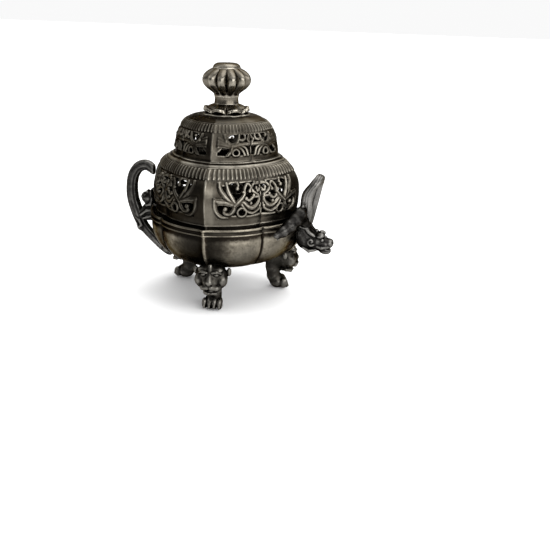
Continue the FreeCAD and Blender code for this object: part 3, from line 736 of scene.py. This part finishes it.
def pierced_tier(name, profile, panel, band, scrolls, tongues, corner, voxel, node_name, lighting):
    """A lobed wall with a plain foot, eight scroll panels and a row of tongues above them."""
    wall, proud = 2.2, 1.5
    total = lengths_along(profile)[-1]
    radius_mid = profile[:, 0].max()
    quarter = int(round(np.pi / 2 * radius_mid / voxel))
    azimuth = np.arange(quarter) * LOBE_PITCH / quarter
    v = np.arange(-2 * voxel, total + 2.5 * voxel, voxel)
    w = np.arange(-wall - 2 * voxel, proud + 2.5 * voxel, voxel)
    ridge, v_grid = np.meshgrid(from_ridge(azimuth), v, indexing="ij")
    low, high = panel
    side, gap = 6.2, 0.7
    scale = np.pi / 180 * radius_mid * 0.97
    width = (LOBE_PITCH / 2 - side - gap) * scale
    x = (ridge - side) * scale
    y = v_grid - low
    edge, relief = scroll_panel(x, y, width, high - low, *scrolls)
    outside = np.minimum.reduce([x, width - x, y, (high - low) - y])
    solid = np.minimum(edge, outside)
    relief = np.where(edge < 0, relief, 0.05)
    soft = 1 - unit(-solid / 0.5)
    top = relief - 0.45 * soft ** 2
    in_band = unit((v_grid - band[0] + 0.3) / 0.6) * unit((band[1] - v_grid) / 0.5)
    top = top * (1 - in_band) + in_band * lappets(ridge, v_grid, band[0], band[1], tongues)
    border = np.exp(-((v_grid - band[1] - 0.6) / 0.5) ** 2) + 0.7 * bell(v_grid, 0.6, 0.7)
    top = top + 0.5 * border
    outer = w[None, None, :] - top[:, :, None]
    inner = -wall - w[None, None, :]
    field = np.maximum(np.maximum(outer, inner), solid[:, :, None])
    ends = np.maximum(-v, v - total)
    field = np.maximum(field, ends[None, :, None])
    spare = 3
    columns = 4 * quarter
    field = np.concatenate([field] * 4 + [field[:2 * spare]], 0)
    points, quads = field_mesh(field, (0, 0, 0), 1.0)
    middle = points[quads].mean(1)[:, 0]
    quads = quads[(middle >= spare) & (middle < spare + columns)]
    used, quads = np.unique(quads, return_inverse=True)
    points, quads = points[used], quads.reshape(-1, 4)
    turn = points[:, 0] * 360.0 / columns
    at = v[0] + points[:, 1] * voxel
    depth = w[0] + points[:, 2] * voxel
    radius, height, out_r, out_z = along_profile(profile, at)
    strength = unit(radius / BOWL_RADIUS)
    rise = np.sin(np.pi * unit((at - 12) / (total - 12))) ** 2
    extra = corner * np.exp(-from_ridge(turn) / 6.0) * rise
    placed = polar(radius + depth * out_r + lid_lobe(turn) * strength + extra, turn, height + depth * out_z)
    add_piece(name, "lid", "lid_bronze", placed, quads, (node_name,), rounds=5, weld=0.02, painted_light=lighting)


def make_lower_tier():
    profile = path((52.0, TIER_LOW), (52.3, TIER_LOW + 5.4),
                   arc((52.3, TIER_LOW + 5.4), (48.0, 96.8), 36, 24),
                   arc((48.0, 96.8), (41.8, TIER_TOP), 13, 12), (35.5, TIER_TOP + 0.2))
    pierced_tier("lower_tier", profile, (6.2, 32.4), (33.2, 41.6),
                 (LOWER_FILLERS, LOWER_STROKES, LOWER_KNOBS, LOWER_RINGS), 12, 1.9, 0.40, "lid_lower_tier",
                 tier_light(TIER_LOW, TIER_LOW + 7, 0.35))


def make_upper_tier():
    profile = path((37.4, STEP_TOP - 0.4), (37.5, STEP_TOP + 4.0),
                   arc((37.5, STEP_TOP + 4.0), (33.4, 126.0), 44, 20),
                   arc((33.4, 126.0), (21.0, DOME_TOP), 19, 16), (16.0, DOME_TOP + 0.2))
    pierced_tier("upper_tier", profile, (4.2, 20.0), (20.8, 27.2),
                 (UPPER_FILLERS, UPPER_STROKES, UPPER_KNOBS, UPPER_RINGS), 10, 0.3, 0.36, "lid_upper_tier",
                 tier_light(STEP_TOP - 18, STEP_TOP + 4, 0.40))


def make_step_ring():
    profile = path((34.6, TIER_TOP - 0.4), (41.8, TIER_TOP - 0.4),
                   arc((41.8, TIER_TOP - 0.4), (41.4, TIER_TOP + 1.6), 1.1, 8),
                   (39.8, STEP_TOP - 0.8), arc((39.8, STEP_TOP - 0.8), (38.8, STEP_TOP + 0.2), 0.9, 5),
                   (34.6, STEP_TOP + 0.2))
    turned_solid("step_ring", "lid", "lid_bronze", closed_profile(profile, 0.35),
                 lambda a, p: lobed(a, p, lid_lobe, 1.0, 0.8), ("lid_step_ring",))


def make_seat_ring():
    foot = low_mm("lid_seat_ring")[2]
    top = TIER_LOW + 0.6
    profile = path((47.4, foot), (49.4, foot), (49.7, foot + 0.6), (49.8, top), (47.4, top))
    turned_solid("seat_ring", "lid", "lid_bronze", closed_profile(profile, 0.5), bowl_wall,
                 ("lid_seat_ring",))


# ---------- finial

FLUTE_TURN = 15.5


def petals(azimuth, count, sharpness):
    """1 along the middle of each petal, 0 in the clefts between them."""
    return np.abs(np.sin(np.radians(azimuth - FLUTE_TURN) * count / 2)) ** sharpness


def make_crown_plate():
    profile = path((2.5, DOME_TOP - 1.4), (2.5, DOME_TOP), (17.0, DOME_TOP + 0.5), (17.4, DOME_TOP - 1.4))
    turned_solid("crown_plate", "lid", "lid_bronze", closed_profile(profile, 0.6),
                 lambda a, p: lobed(a, p, lid_lobe, 1.0, 0.5), columns=180)


def make_collar():
    top = above(COLLAR_TOP, (8.6, 0.2), (9.8, -0.6), (12.2, -1.7), (14.6, -3.2), (15.9, -4.8), (16.3, -5.8))
    under = above(COLLAR_TOP, (15.4, -6.3), (14.6, -6.4), (2.5, -6.4), (2.5, 0.2))
    profile = closed_profile(path(spaced(spline(top, 6), 0.3), under), 0.3)

    def shape(azimuth, row):
        radius, height = row[..., 0], row[..., 1]
        outside = unit((radius - 9.0) / 5.0) * (height > COLLAR_TOP - 6.2)
        swell = petals(azimuth, 8, 0.6)
        lip = bell(radius, 15.7, 0.9) * (height < COLLAR_TOP - 3.4)
        vein = bell(swell, 0.80, 0.07)
        push = outside * (2.6 * swell - 2.1 - 0.45 * vein) + 1.3 * lip * petals(azimuth, 8, 1.2)
        rise = 1.5 * lip * petals(azimuth, 8, 0.9) + 1.3 * outside * (swell - 0.8)
        return polar(radius + push, azimuth, height + rise)

    turned_solid("lotus_petals", "lid", "knob_bronze", profile, shape, ("lotus_collar",))
    edge = (17.0, DOME_TOP - 0.4)
    profile = path((12.0, DOME_TOP - 0.6), edge, arc(edge, (16.4, DOME_TOP + 1.2), 0.95, 6),
                   (12.0, DOME_TOP + 1.4))

    def scalloped(azimuth, row):
        radius, height = row[..., 0], row[..., 1]
        outside = unit((radius - 12) / 4)
        swell = petals(azimuth, 8, 0.7)
        return polar(radius + outside * (1.6 * swell - 1.1), azimuth, height - 0.3 * outside * swell)

    turned_solid("collar_foot", "lid", "lid_bronze", closed_profile(profile, 0.3), scalloped)


def make_neck():
    profile = path(above(COLLAR_TOP, (9.2, -0.6), (8.7, 0.8), (8.5, 3.0)),
                   above(NECK_TOP, (8.7, -1.6), (9.0, 0.6), (2.5, 0.6)), (2.5, COLLAR_TOP - 0.4))
    profile = closed_profile(profile, 0.4)
    turned_solid("neck", "lid", "knob_bronze", profile, lambda a, p: polar(p[..., 0], a, p[..., 1]),
                 ("knob_neck",), columns=180)


def make_knob():
    outer = (above(NECK_TOP, (8.8, -2.4), (9.4, -0.2), (11.6, 1.6), (14.8, 4.0), (17.2, 6.9), (17.9, 9.8),
                   (17.1, 12.6), (14.2, 15.4)) + above(KNOB_TOP, (10.2, -0.8), (8.4, -0.4)))
    core = (2.0, KNOB_TOP - 0.4), (2.0, NECK_TOP - 2.4)
    profile = closed_profile(path(spaced(spline(outer, 8), 0.4), core), 0.42)

    def shape(azimuth, row):
        radius, height = row[..., 0], row[..., 1]
        share = unit((height - NECK_TOP + 0.6) / (KNOB_TOP - NECK_TOP))
        depth = np.sin(np.pi * share ** 0.9) ** 0.5
        cleft = 1 - petals(azimuth, 12, 0.75)
        outside = unit((radius - 8.0) / 4.0)
        return polar(radius - 4.4 * depth * cleft * outside, azimuth, height)

    turned_solid("knob_lobes", "lid", "knob_bronze", profile, shape, ("fluted_knob",))


def make_button():
    outer = (above(KNOB_TOP, (9.0, -2.0), (9.9, -0.9), (9.8, 0.2), (8.9, 1.5))
             + above(BUTTON_TOP, (7.2, -0.5), (4.5, -0.1), (0.02, 0.0)))
    profile = closed_profile(path(spaced(spline(outer, 6), 0.3), (0.02, KNOB_TOP - 2.0)), 0.3)

    def shape(azimuth, row):
        radius, height = row[..., 0], row[..., 1]
        uneven = 0.25 * np.sin(np.radians(azimuth) * 3 + 0.7) * unit(radius / 8)
        return polar(radius + uneven, azimuth, height)

    turned_solid("knob_cap", "lid", "knob_bronze", profile, shape, ("knob_button",), columns=240)


# ---------- legs

def leg_field(p):
    """A beast's mask over a bent shank and a clawed paw. +X is outwards and Z = 0 the floor."""
    shank = [(40, 0, 36), (38.4, 0, 26), (37.6, 0, 17), (38.2, 0, 9.4), (41.2, 0, 5.6), (43.8, 0, 5.2)]
    clay = Clay(p, rope, shank, [8.6, 7.4, 5.6, 4.9, 5.2, 4.6], 2.0)
    clay.add(egg, 3.0, (46.4, 0, 26.6), (8.8, 11.4, 10.6), -12)
    clay.add(egg, 1.8, (52.6, 0, 23.0), (4.6, 5.6, 4.6))
    for _ in clay.sides():
        clay.add(egg, 0.9, (51.4, 5.2, 33.0), (3.2, 3.9, 1.9), -24)
        clay.add(egg, 1.3, (49.6, 8.4, 24.4), (4.4, 3.6, 4.8))
        clay.add(egg, 0.7, (44.8, 12.2, 29.6), (1.9, 1.7, 3.2))
        clay.cut(egg, 0.7, (55.0, 4.9, 29.8), (2.0, 2.5, 1.7))
        clay.add(egg, 0.35, (53.2, 4.7, 29.6), (1.6, 1.9, 1.3))
        clay.add(rope, 0.4, [(55.3, 2.2, 31.4), (54.6, 5.2, 32.0), (52.4, 7.8, 30.4)], [0.9, 1.0, 0.7])
        clay.add(rope, 1.4, [(56.2, 1.6, 20.4), (54.2, 5.0, 19.6), (50.6, 7.8, 20.4)], [1.6, 1.8, 1.4])
        clay.cut(egg, 0.3, (57.4, 1.8, 22.6), (1.0, 0.9, 0.8))
        clay.add(rope, 0.9, [(47.0, 5.4, 15.4), (51.0, 3.8, 14.4), (53.0, 1.2, 15.0)], [1.4, 1.3, 1.1])
    clay.add(rope, 1.0, [(51.6, 0, 35.6), (53.8, 0, 30.0), (56.0, 0, 24.4)], [1.4, 1.5, 2.2])
    clay.cut(egg, 0.6, (54.0, 0, 17.2), (5.0, 4.6, 1.3))
    clay.add(egg, 1.4, (46.0, 0, 16.4), (4.2, 4.8, 3.2))
    clay.add(egg, 1.5, (41.6, 0, 4.6), (6.2, 6.9, 4.8))
    for toe in (-1.5, -0.5, 0.5, 1.5):
        spread = 3.7 * toe
        clay.add(egg, 0.7, (45.6, spread, 4.6), (3.4, 2.15, 4.1))
        clay.cut(capsule, 0.3, (48.5, spread + 1.95, 8.0), (48.9, spread + 1.95, 1.0), 0.45, 0.45)
        clay.add(rope, 0.3, [(48.3, spread, 4.4), (48.9, spread, 2.6), (48.1, spread, 1.2)],
                 [0.9, 0.75, 0.4])
    return np.maximum(clay.field, -p[2])


def make_legs():
    names = (("beast_leg_front", "front_leg"), ("beast_leg_right", "right_rear_leg"),
             ("beast_leg_left", "left_rear_leg"))
    points, quads = sculpt((31, -14, 0), (59, 14, 42), 0.42, leg_field)
    for (name, node_name), turn in zip(names, LEG_TURNS):
        add_piece(name, "base", "leg_bronze", turn_points(points, turn), quads, (node_name,))


# ---------- handles

def add_handle(name, node_name, azimuth, low, high, voxel, shape, painted_light=None):
    """Part of a handle, sculpted in a box with +X outwards and then turned to face the azimuth."""
    points, quads = sculpt(low, high, voxel, shape)
    add_piece(name, "base", "handle_bronze", turn_points(points, azimuth), quads, (node_name,), painted_light=painted_light)


def tail_field(p):
    """The tail: a strap that rises from under the bowl, curls over and ends beside the lid."""
    x, y, z = p
    route = [(45.5, 26.0), (51, 29.5), (57.5, 35.5), (63, 41.0), (67.4, 46.5), (70.0, 52), (72.4, 59),
             (74.6, 67), (75.0, 76), (73.4, 84.8), (68.8, 91.4), (62.6, 93.2), (56.6, 89.8)]
    width = [3.2, 3.4, 3.6, 3.8, 4.1, 4.5, 4.7, 4.6, 4.4, 4.3, 4.2, 4.0, 3.6]
    curve = spline(route, 8)
    size = np.interp(np.linspace(0, 1, len(curve)), np.linspace(0, 1, len(width)), width)
    near = np.full(x.shape, 1e3)
    half = np.ones(x.shape)
    side = np.zeros(x.shape)
    tangent = np.gradient(curve, axis=0)
    tangent /= np.linalg.norm(tangent, axis=1)[:, None]
    for (cx, cz), (tx, tz), radius in zip(curve, tangent, size):
        distance = np.hypot(x - cx, z - cz)
        nearer = distance < near
        near = np.where(nearer, distance, near)
        half = np.where(nearer, radius, half)
        side = np.where(nearer, (x - cx) * tz - (z - cz) * tx, side)
    flat = ((near / half) ** 2.3 + (np.abs(y) / (half * 0.92)) ** 2.3) ** (1 / 2.3)
    field = (flat - 1) * half * 0.9
    groove = np.exp(-((side / half + 0.45) / 0.14) ** 2)
    field = field + 0.28 * groove * unit(np.abs(y) / 2)
    return carve(field, x - 56.3 + 200 * (z < 80), 0.8)


def make_tail():
    def whole(p):
        clay = Clay(p, tail_field)
        clay.add(egg, 1.4, (68.6, 0, 44.8), (3.2, 4.2, 3.6))
        clay.add(rope, 0.8, [(67.0, 0, 43.6), (70.0, 0, 42.2)], [2.0, 1.1])
        for _ in clay.sides():
            curl = [(71.6, 3.4, 52.5), (68.4, 4.0, 50.0), (66.8, 4.0, 46.6), (69.2, 3.8, 44.6),
                    (70.6, 3.6, 46.8)]
            clay.add(rope, 0.5, curl, [0.6, 1.0, 1.1, 1.0, 0.8])
        clay.add(egg, 1.5, (46.5, 0, 28.0), (4.4, 4.2, 3.8))
        return clay.field

    add_handle("tail_loop", "tail_loop_handle", 270.0, (40, -7, 21), (81, 7, 98), 0.45, whole)


def crest_field(p):
    """A small beast that looks outwards from a leafy bracket between the rim and the tail."""
    outline = [(53.0, 50.0), (59.2, 50.4), (64.9, 50.2), (69.0, 52.0), (69.6, 56.5), (66.0, 60.6),
               (63.6, 63.2), (66.2, 66.0), (67.2, 69.4), (65.8, 72.0), (63.6, 71.6), (62.6, 74.2),
               (60.4, 72.6), (58.6, 75.8), (57.9, 70.0), (57.6, 64.6), (53.0, 62.5)]
    clay = Clay(p, slab, outline, 3.6, 1.3)
    clay.add(egg, 1.2, (61.2, 0, 68.0), (4.9, 4.8, 4.4))
    clay.add(egg, 1.4, (61.2, 0, 58.0), (6.2, 4.8, 6.0))
    for _ in clay.sides():
        clay.add(egg, 0.3, (63.2, 2.8, 70.4), (1.5, 1.3, 1.2))
        clay.cut(rope, 0.3, [(67.4, 3.6, 67.6), (63.8, 4.2, 66.4)], [0.5, 0.6])
        clay.add(rope, 0.4, [(58.2, 3.6, 68.0), (58.6, 4.6, 64.0), (62.4, 4.4, 62.6)], [1.0, 1.2, 0.8])
        clay.add(rope, 0.4, [(58.0, 4.0, 59.0), (62.0, 4.6, 58.6), (67.6, 3.6, 54.4)], [0.9, 1.2, 0.9])
        clay.add(rope, 0.4, [(58.0, 3.8, 54.6), (61.6, 4.4, 53.6), (65.6, 3.8, 51.8)], [0.9, 1.1, 0.7])
    return clay.field


def make_crest():
    add_handle("tail_crest", "tail_handle_crest", 270.0, (52.5, -7, 47), (72, 7, 79), 0.36, crest_field)


def dragon_field(p):
    """A dragon's head on a thick neck, looking outwards with its nose curled up."""
    neck = [(58.0, 0, 59.0), (59.6, 0, 51.0), (63.4, 0, 46.4), (69.0, 0, 44.6)]
    clay = Clay(p, rope, neck, [6.2, 7.6, 7.8, 7.0], 3.0)
    clay.add(egg, 2.0, (71.5, 0, 45.2), (6.4, 7.0, 6.6))
    clay.add(egg, 1.8, (76.6, 0, 43.0), (6.0, 6.0, 5.6), -14)
    clay.add(egg, 1.0, (80.6, 0, 44.4), (3.1, 4.6, 3.3))
    clay.add(egg, 1.2, (77.2, 0, 38.4), (4.8, 4.6, 3.0), -8)
    clay.cut(egg, 0.4, (81.5, 0, 40.3), (5.6, 6.6, 0.75), -10)
    for _ in clay.sides():
        clay.cut(egg, 0.3, (83.2, 1.9, 45.0), (1.1, 0.9, 0.8))
        clay.add(egg, 0.8, (73.6, 4.0, 50.2), (3.4, 2.6, 2.3), 16)
        clay.cut(egg, 0.4, (76.4, 5.8, 47.4), (2.0, 1.4, 1.4))
        clay.add(egg, 0.25, (75.4, 5.0, 47.4), (1.5, 1.3, 1.2))
        curl = [(69.8, 6.8, 44.2), (67.6, 7.6, 43.4), (65.8, 7.8, 44.6), (65.7, 7.8, 46.8),
                (67.4, 7.7, 47.8), (68.6, 7.5, 46.6), (67.6, 7.7, 45.6)]
        clay.add(rope, 0.7, spline(curl, 4), np.linspace(0.8, 0.5, 4 * (len(curl) - 1) + 1))
        clay.add(rope, 0.5, [(79.6, 4.2, 42.4), (75.4, 6.0, 41.6), (72.0, 6.6, 42.6)], [1.0, 1.2, 0.8])
        clay.add(rope, 0.2, [(76.6, 4.4, 41.6), (76.9, 4.3, 39.8)], [0.8, 0.4])
        clay.add(rope, 0.5, [(70.8, 5.6, 39.6), (66.0, 7.0, 38.8), (61.4, 7.6, 41.4)], [1.1, 1.3, 0.8])
    for knob in ((76.9, 48.4), (74.0, 52.0), (70.4, 53.0)):
        clay.add(egg, 0.6, (knob[0], 0, knob[1]), (1.7, 2.0, 1.5))
    for place in np.linspace(-1, 1, 7):
        strand = [(61.6, 9.0 * place, 64.5), (63.2, 8.2 * place, 58.4), (65.6, 7.2 * place, 53.4),
                  (69.6, 6.2 * place, 50.4)]
        clay.add(rope, 0.35, spline(strand, 4), np.linspace(1.7, 1.0, 13))
    wall = np.hypot(p[0], p[1]) - (BOWL_RADIUS - 1.0)
    return np.maximum(clay.field, -wall)


def make_dragon():
    add_handle("dragon", "dragon_head", 90.0, (54, -12, 33), (86, 12, 68), 0.42, dragon_field)


def arch_field(p):
    """The mane: an upright arch that leans outwards, ribbed along its length."""
    x, y, z = p
    lean = math.radians(17.5)
    foot = (61.0, ARCH_FOOT)
    across = (x - foot[0]) * math.cos(lean) - (z - foot[1]) * math.sin(lean)
    up = (x - foot[0]) * math.sin(lean) + (z - foot[1]) * math.cos(lean)
    across = across + 4.0 * bell(up, 21, 10) * unit(0.5 - y / 9)
    bend, spread = 27.0, 6.2
    splay = 1.8 * unit(1 - up / bend) ** 1.5
    side = np.where(up < bend, np.abs(y) - spread - splay, np.hypot(y, up - bend) - spread)
    half_width = 3.8
    half_thick = 3.4 + 2.4 * unit(1 - up / bend) ** 0.9
    flat = ((np.abs(side) / half_width) ** 2.6 + (np.abs(across) / half_thick) ** 2.6) ** (1 / 2.6)
    field = (flat - 1) * half_thick
    groove = bell(np.abs(side), 1.2, 0.42)
    edge_groove = bell(np.abs(across), 0.9, 0.35) * unit(np.abs(side) - 1.5)
    field = field + 0.75 * groove * unit(np.abs(across)) + 0.30 * edge_groove
    return np.maximum(field, -up - 3)


def make_arch():
    # Painted highlight on the mane, rising towards its top.
    def painted_highlight(azimuth, radius, height):
        return 0.9 * unit((height - 62) / 12)

    add_handle("mane_arch", "dragon_mane_arch", 90.0, (54, -14, 54), (80, 14, 101), 0.42, arch_field,
               painted_highlight)


def claw_field(p):
    """A forearm along the rim, with a curled wrist at the neck and claws at its lower end."""
    turns = np.radians(np.array([52.0, 57.0, 62.5, 68.0, 73.5, 78.0]))
    heights = [57.8, 60.0, 62.8, 65.8, 69.0, 71.4]
    reach = [60.4, 61.4, 62.0, 62.2, 62.4, 62.4]
    route = [(r * math.sin(t), -r * math.cos(t), h) for r, t, h in zip(reach, turns, heights)]
    clay = Clay(p, rope, route, [2.4, 3.6, 4.6, 4.9, 4.5, 3.4], 2.4)
    clay.add(rope, 3.0, [route[-2], (62.6, -7.5, 60.0)], [4.0, 4.6])
    start = np.array(route[1])
    for finger in (-1, 0, 1):
        knuckle = start + (-1.6, -2.2, -1.0 + 1.7 * finger)
        tip = start + (-3.4, -3.4, -3.6 + 2.0 * finger)
        clay.add(rope, 0.4, [start, knuckle, tip], [1.5, 1.2, 0.45])
    end = np.array(route[-1])
    curl = [end + (-1.0, -3.6, 0.6), end + (0.6, -3.2, 2.6), end + (1.0, -0.6, 3.6), end + (0.6, 1.6, 2.0)]
    clay.add(rope, 0.4, spline(curl, 4), np.linspace(1.2, 0.7, 13))
    wall = np.hypot(p[0], p[1]) - (BOWL_RADIUS + 0.4)
    return np.maximum(clay.field, -wall)


def make_claw():
    add_handle("claw_arm", "dragon_claw_arm", 90.0, (40, -44, 50), (68, -2, 76), 0.36, claw_field)


def finish_hidden_parts():
    """The pieces inside keep their solids and get their metal."""
    for name in ("leg_rivets", "handle_rivets", "tie_rod", "tie_washer", "tie_nut"):
        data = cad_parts[name].data
        data.materials.clear()
        data.materials.append(FIXING_METAL)


# ---------- studio

# Where the camera stands and looks, in degrees and metres, with its lens and sensor in millimetres.
CAMERA_TURN = 15.5
CAMERA_BACK = 0.557
CAMERA_HEIGHT = 0.2121
CAMERA_YAW = 4.00
CAMERA_PITCH = -19.83
CAMERA_ROLL = 1.75
SENSOR = 36.0
LENS = 49.35
# The height that the lights face.
LIGHT_AIM = 0.08


def make_camera():
    data = bpy.data.cameras.new("camera")
    data.sensor_width = SENSOR
    data.lens = LENS
    camera = add_object("camera", data)
    axis = Vector((AXIS_X * MM, 0, 0))
    turn = Matrix.Rotation(math.radians(CAMERA_TURN), 4, "Z")
    aim = (Matrix.Rotation(math.radians(-CAMERA_YAW), 4, "Z")
           @ Matrix.Rotation(math.radians(90 + CAMERA_PITCH), 4, "X")
           @ Matrix.Rotation(math.radians(CAMERA_ROLL), 4, "Z"))
    place = Matrix.Translation((0, -CAMERA_BACK, CAMERA_HEIGHT))
    camera.matrix_world = Matrix.Translation(axis) @ turn @ place @ aim
    bpy.context.scene.camera = camera


def studio_material(name, colour):
    material = bpy.data.materials.new(name)
    material.use_nodes = True
    shader = material.node_tree.nodes["Principled BSDF"]
    shader.inputs["Base Color"].default_value = (*colour, 1.0)
    shader.inputs["Roughness"].default_value = 0.9
    shader.inputs["Specular IOR Level"].default_value = 0.1
    return material


def make_floor():
    """A wide pale floor, a hair below the feet."""
    points = np.array([(-6, -6, 0), (6, -6, 0), (6, 6, 0), (-6, 6, 0)]) - (0, 0, 0.0002)
    mesh = build_mesh("floor", points, np.array([[0, 1, 2, 3]]))
    floor = add_object("floor", mesh)
    mesh.materials.append(studio_material("pale_floor", (0.92, 0.92, 0.92)))


def make_light(kind, name, turn, elevation, distance, energy):
    """A light that faces the object's middle, turned and raised in degrees from the camera's side."""
    data = bpy.data.lights.new(name, kind)
    data.energy = energy
    light = add_object(name, data)
    angle, rise = math.radians(turn + CAMERA_TURN), math.radians(elevation)
    back = Vector((math.sin(angle) * math.cos(rise), -math.cos(angle) * math.cos(rise), math.sin(rise)))
    light.location = Vector((0, 0, LIGHT_AIM)) + back * distance
    light.rotation_mode = "QUATERNION"
    light.rotation_quaternion = (-back).to_track_quat("-Z", "Y")
    return data


def make_sky():
    """Studio light: a pale backdrop behind the object, and a dim room on the camera's side."""
    world = bpy.data.worlds.new("world")
    world.use_nodes = True
    tree = world.node_tree
    place = node(tree, "ShaderNodeTexCoord").outputs["Generated"]
    turn = node(tree, "ShaderNodeVectorRotate", rotation_type="Z_AXIS")
    turn.inputs["Angle"].default_value = math.radians(-CAMERA_TURN)
    tree.links.new(place, turn.inputs["Vector"])
    split = node(tree, "ShaderNodeSeparateXYZ")
    tree.links.new(turn.outputs["Vector"], split.inputs["Vector"])
    back = sums(tree, "ADD", sums(tree, "MULTIPLY", split.outputs["Y"], 0.5), 0.5)
    room = ramp(tree, back, [(0.25, grey(0.07)), (0.62, grey(0.22)), (0.85, grey(0.95))])
    over = ramp(tree, split.outputs["Z"], [(0.25, grey(0.0)), (0.85, grey(1.0))])
    tree.links.new(blended(tree, "ADD", 1.0, room, over), tree.nodes["Background"].inputs["Color"])
    tree.nodes["Background"].inputs["Strength"].default_value = 1.0
    bpy.context.scene.world = world


def make_studio():
    make_floor()
    make_light("SUN", "overhead", 120, 66, 1.0, 2.0).angle = math.radians(60)
    for name, turn, elevation, distance, energy, size in (
            ("key", 36, 20, 0.95, 9.5, (1.25, 0.50)), ("side", -98, 26, 0.9, 0.7, (0.20, 0.50))):
        panel = make_light("AREA", name, turn, elevation, distance, energy)
        panel.shape = "RECTANGLE"
        panel.size, panel.size_y = size
    make_sky()
    bpy.context.scene.view_settings.view_transform = "Standard"


make_camera()
make_bowl()
make_rim_band()
make_legs()
make_tail()
make_crest()
make_dragon()
make_arch()
make_claw()
make_lower_tier()
make_step_ring()
make_seat_ring()
make_upper_tier()
make_crown_plate()
make_collar()
make_neck()
make_knob()
make_button()
finish_hidden_parts()
make_studio()
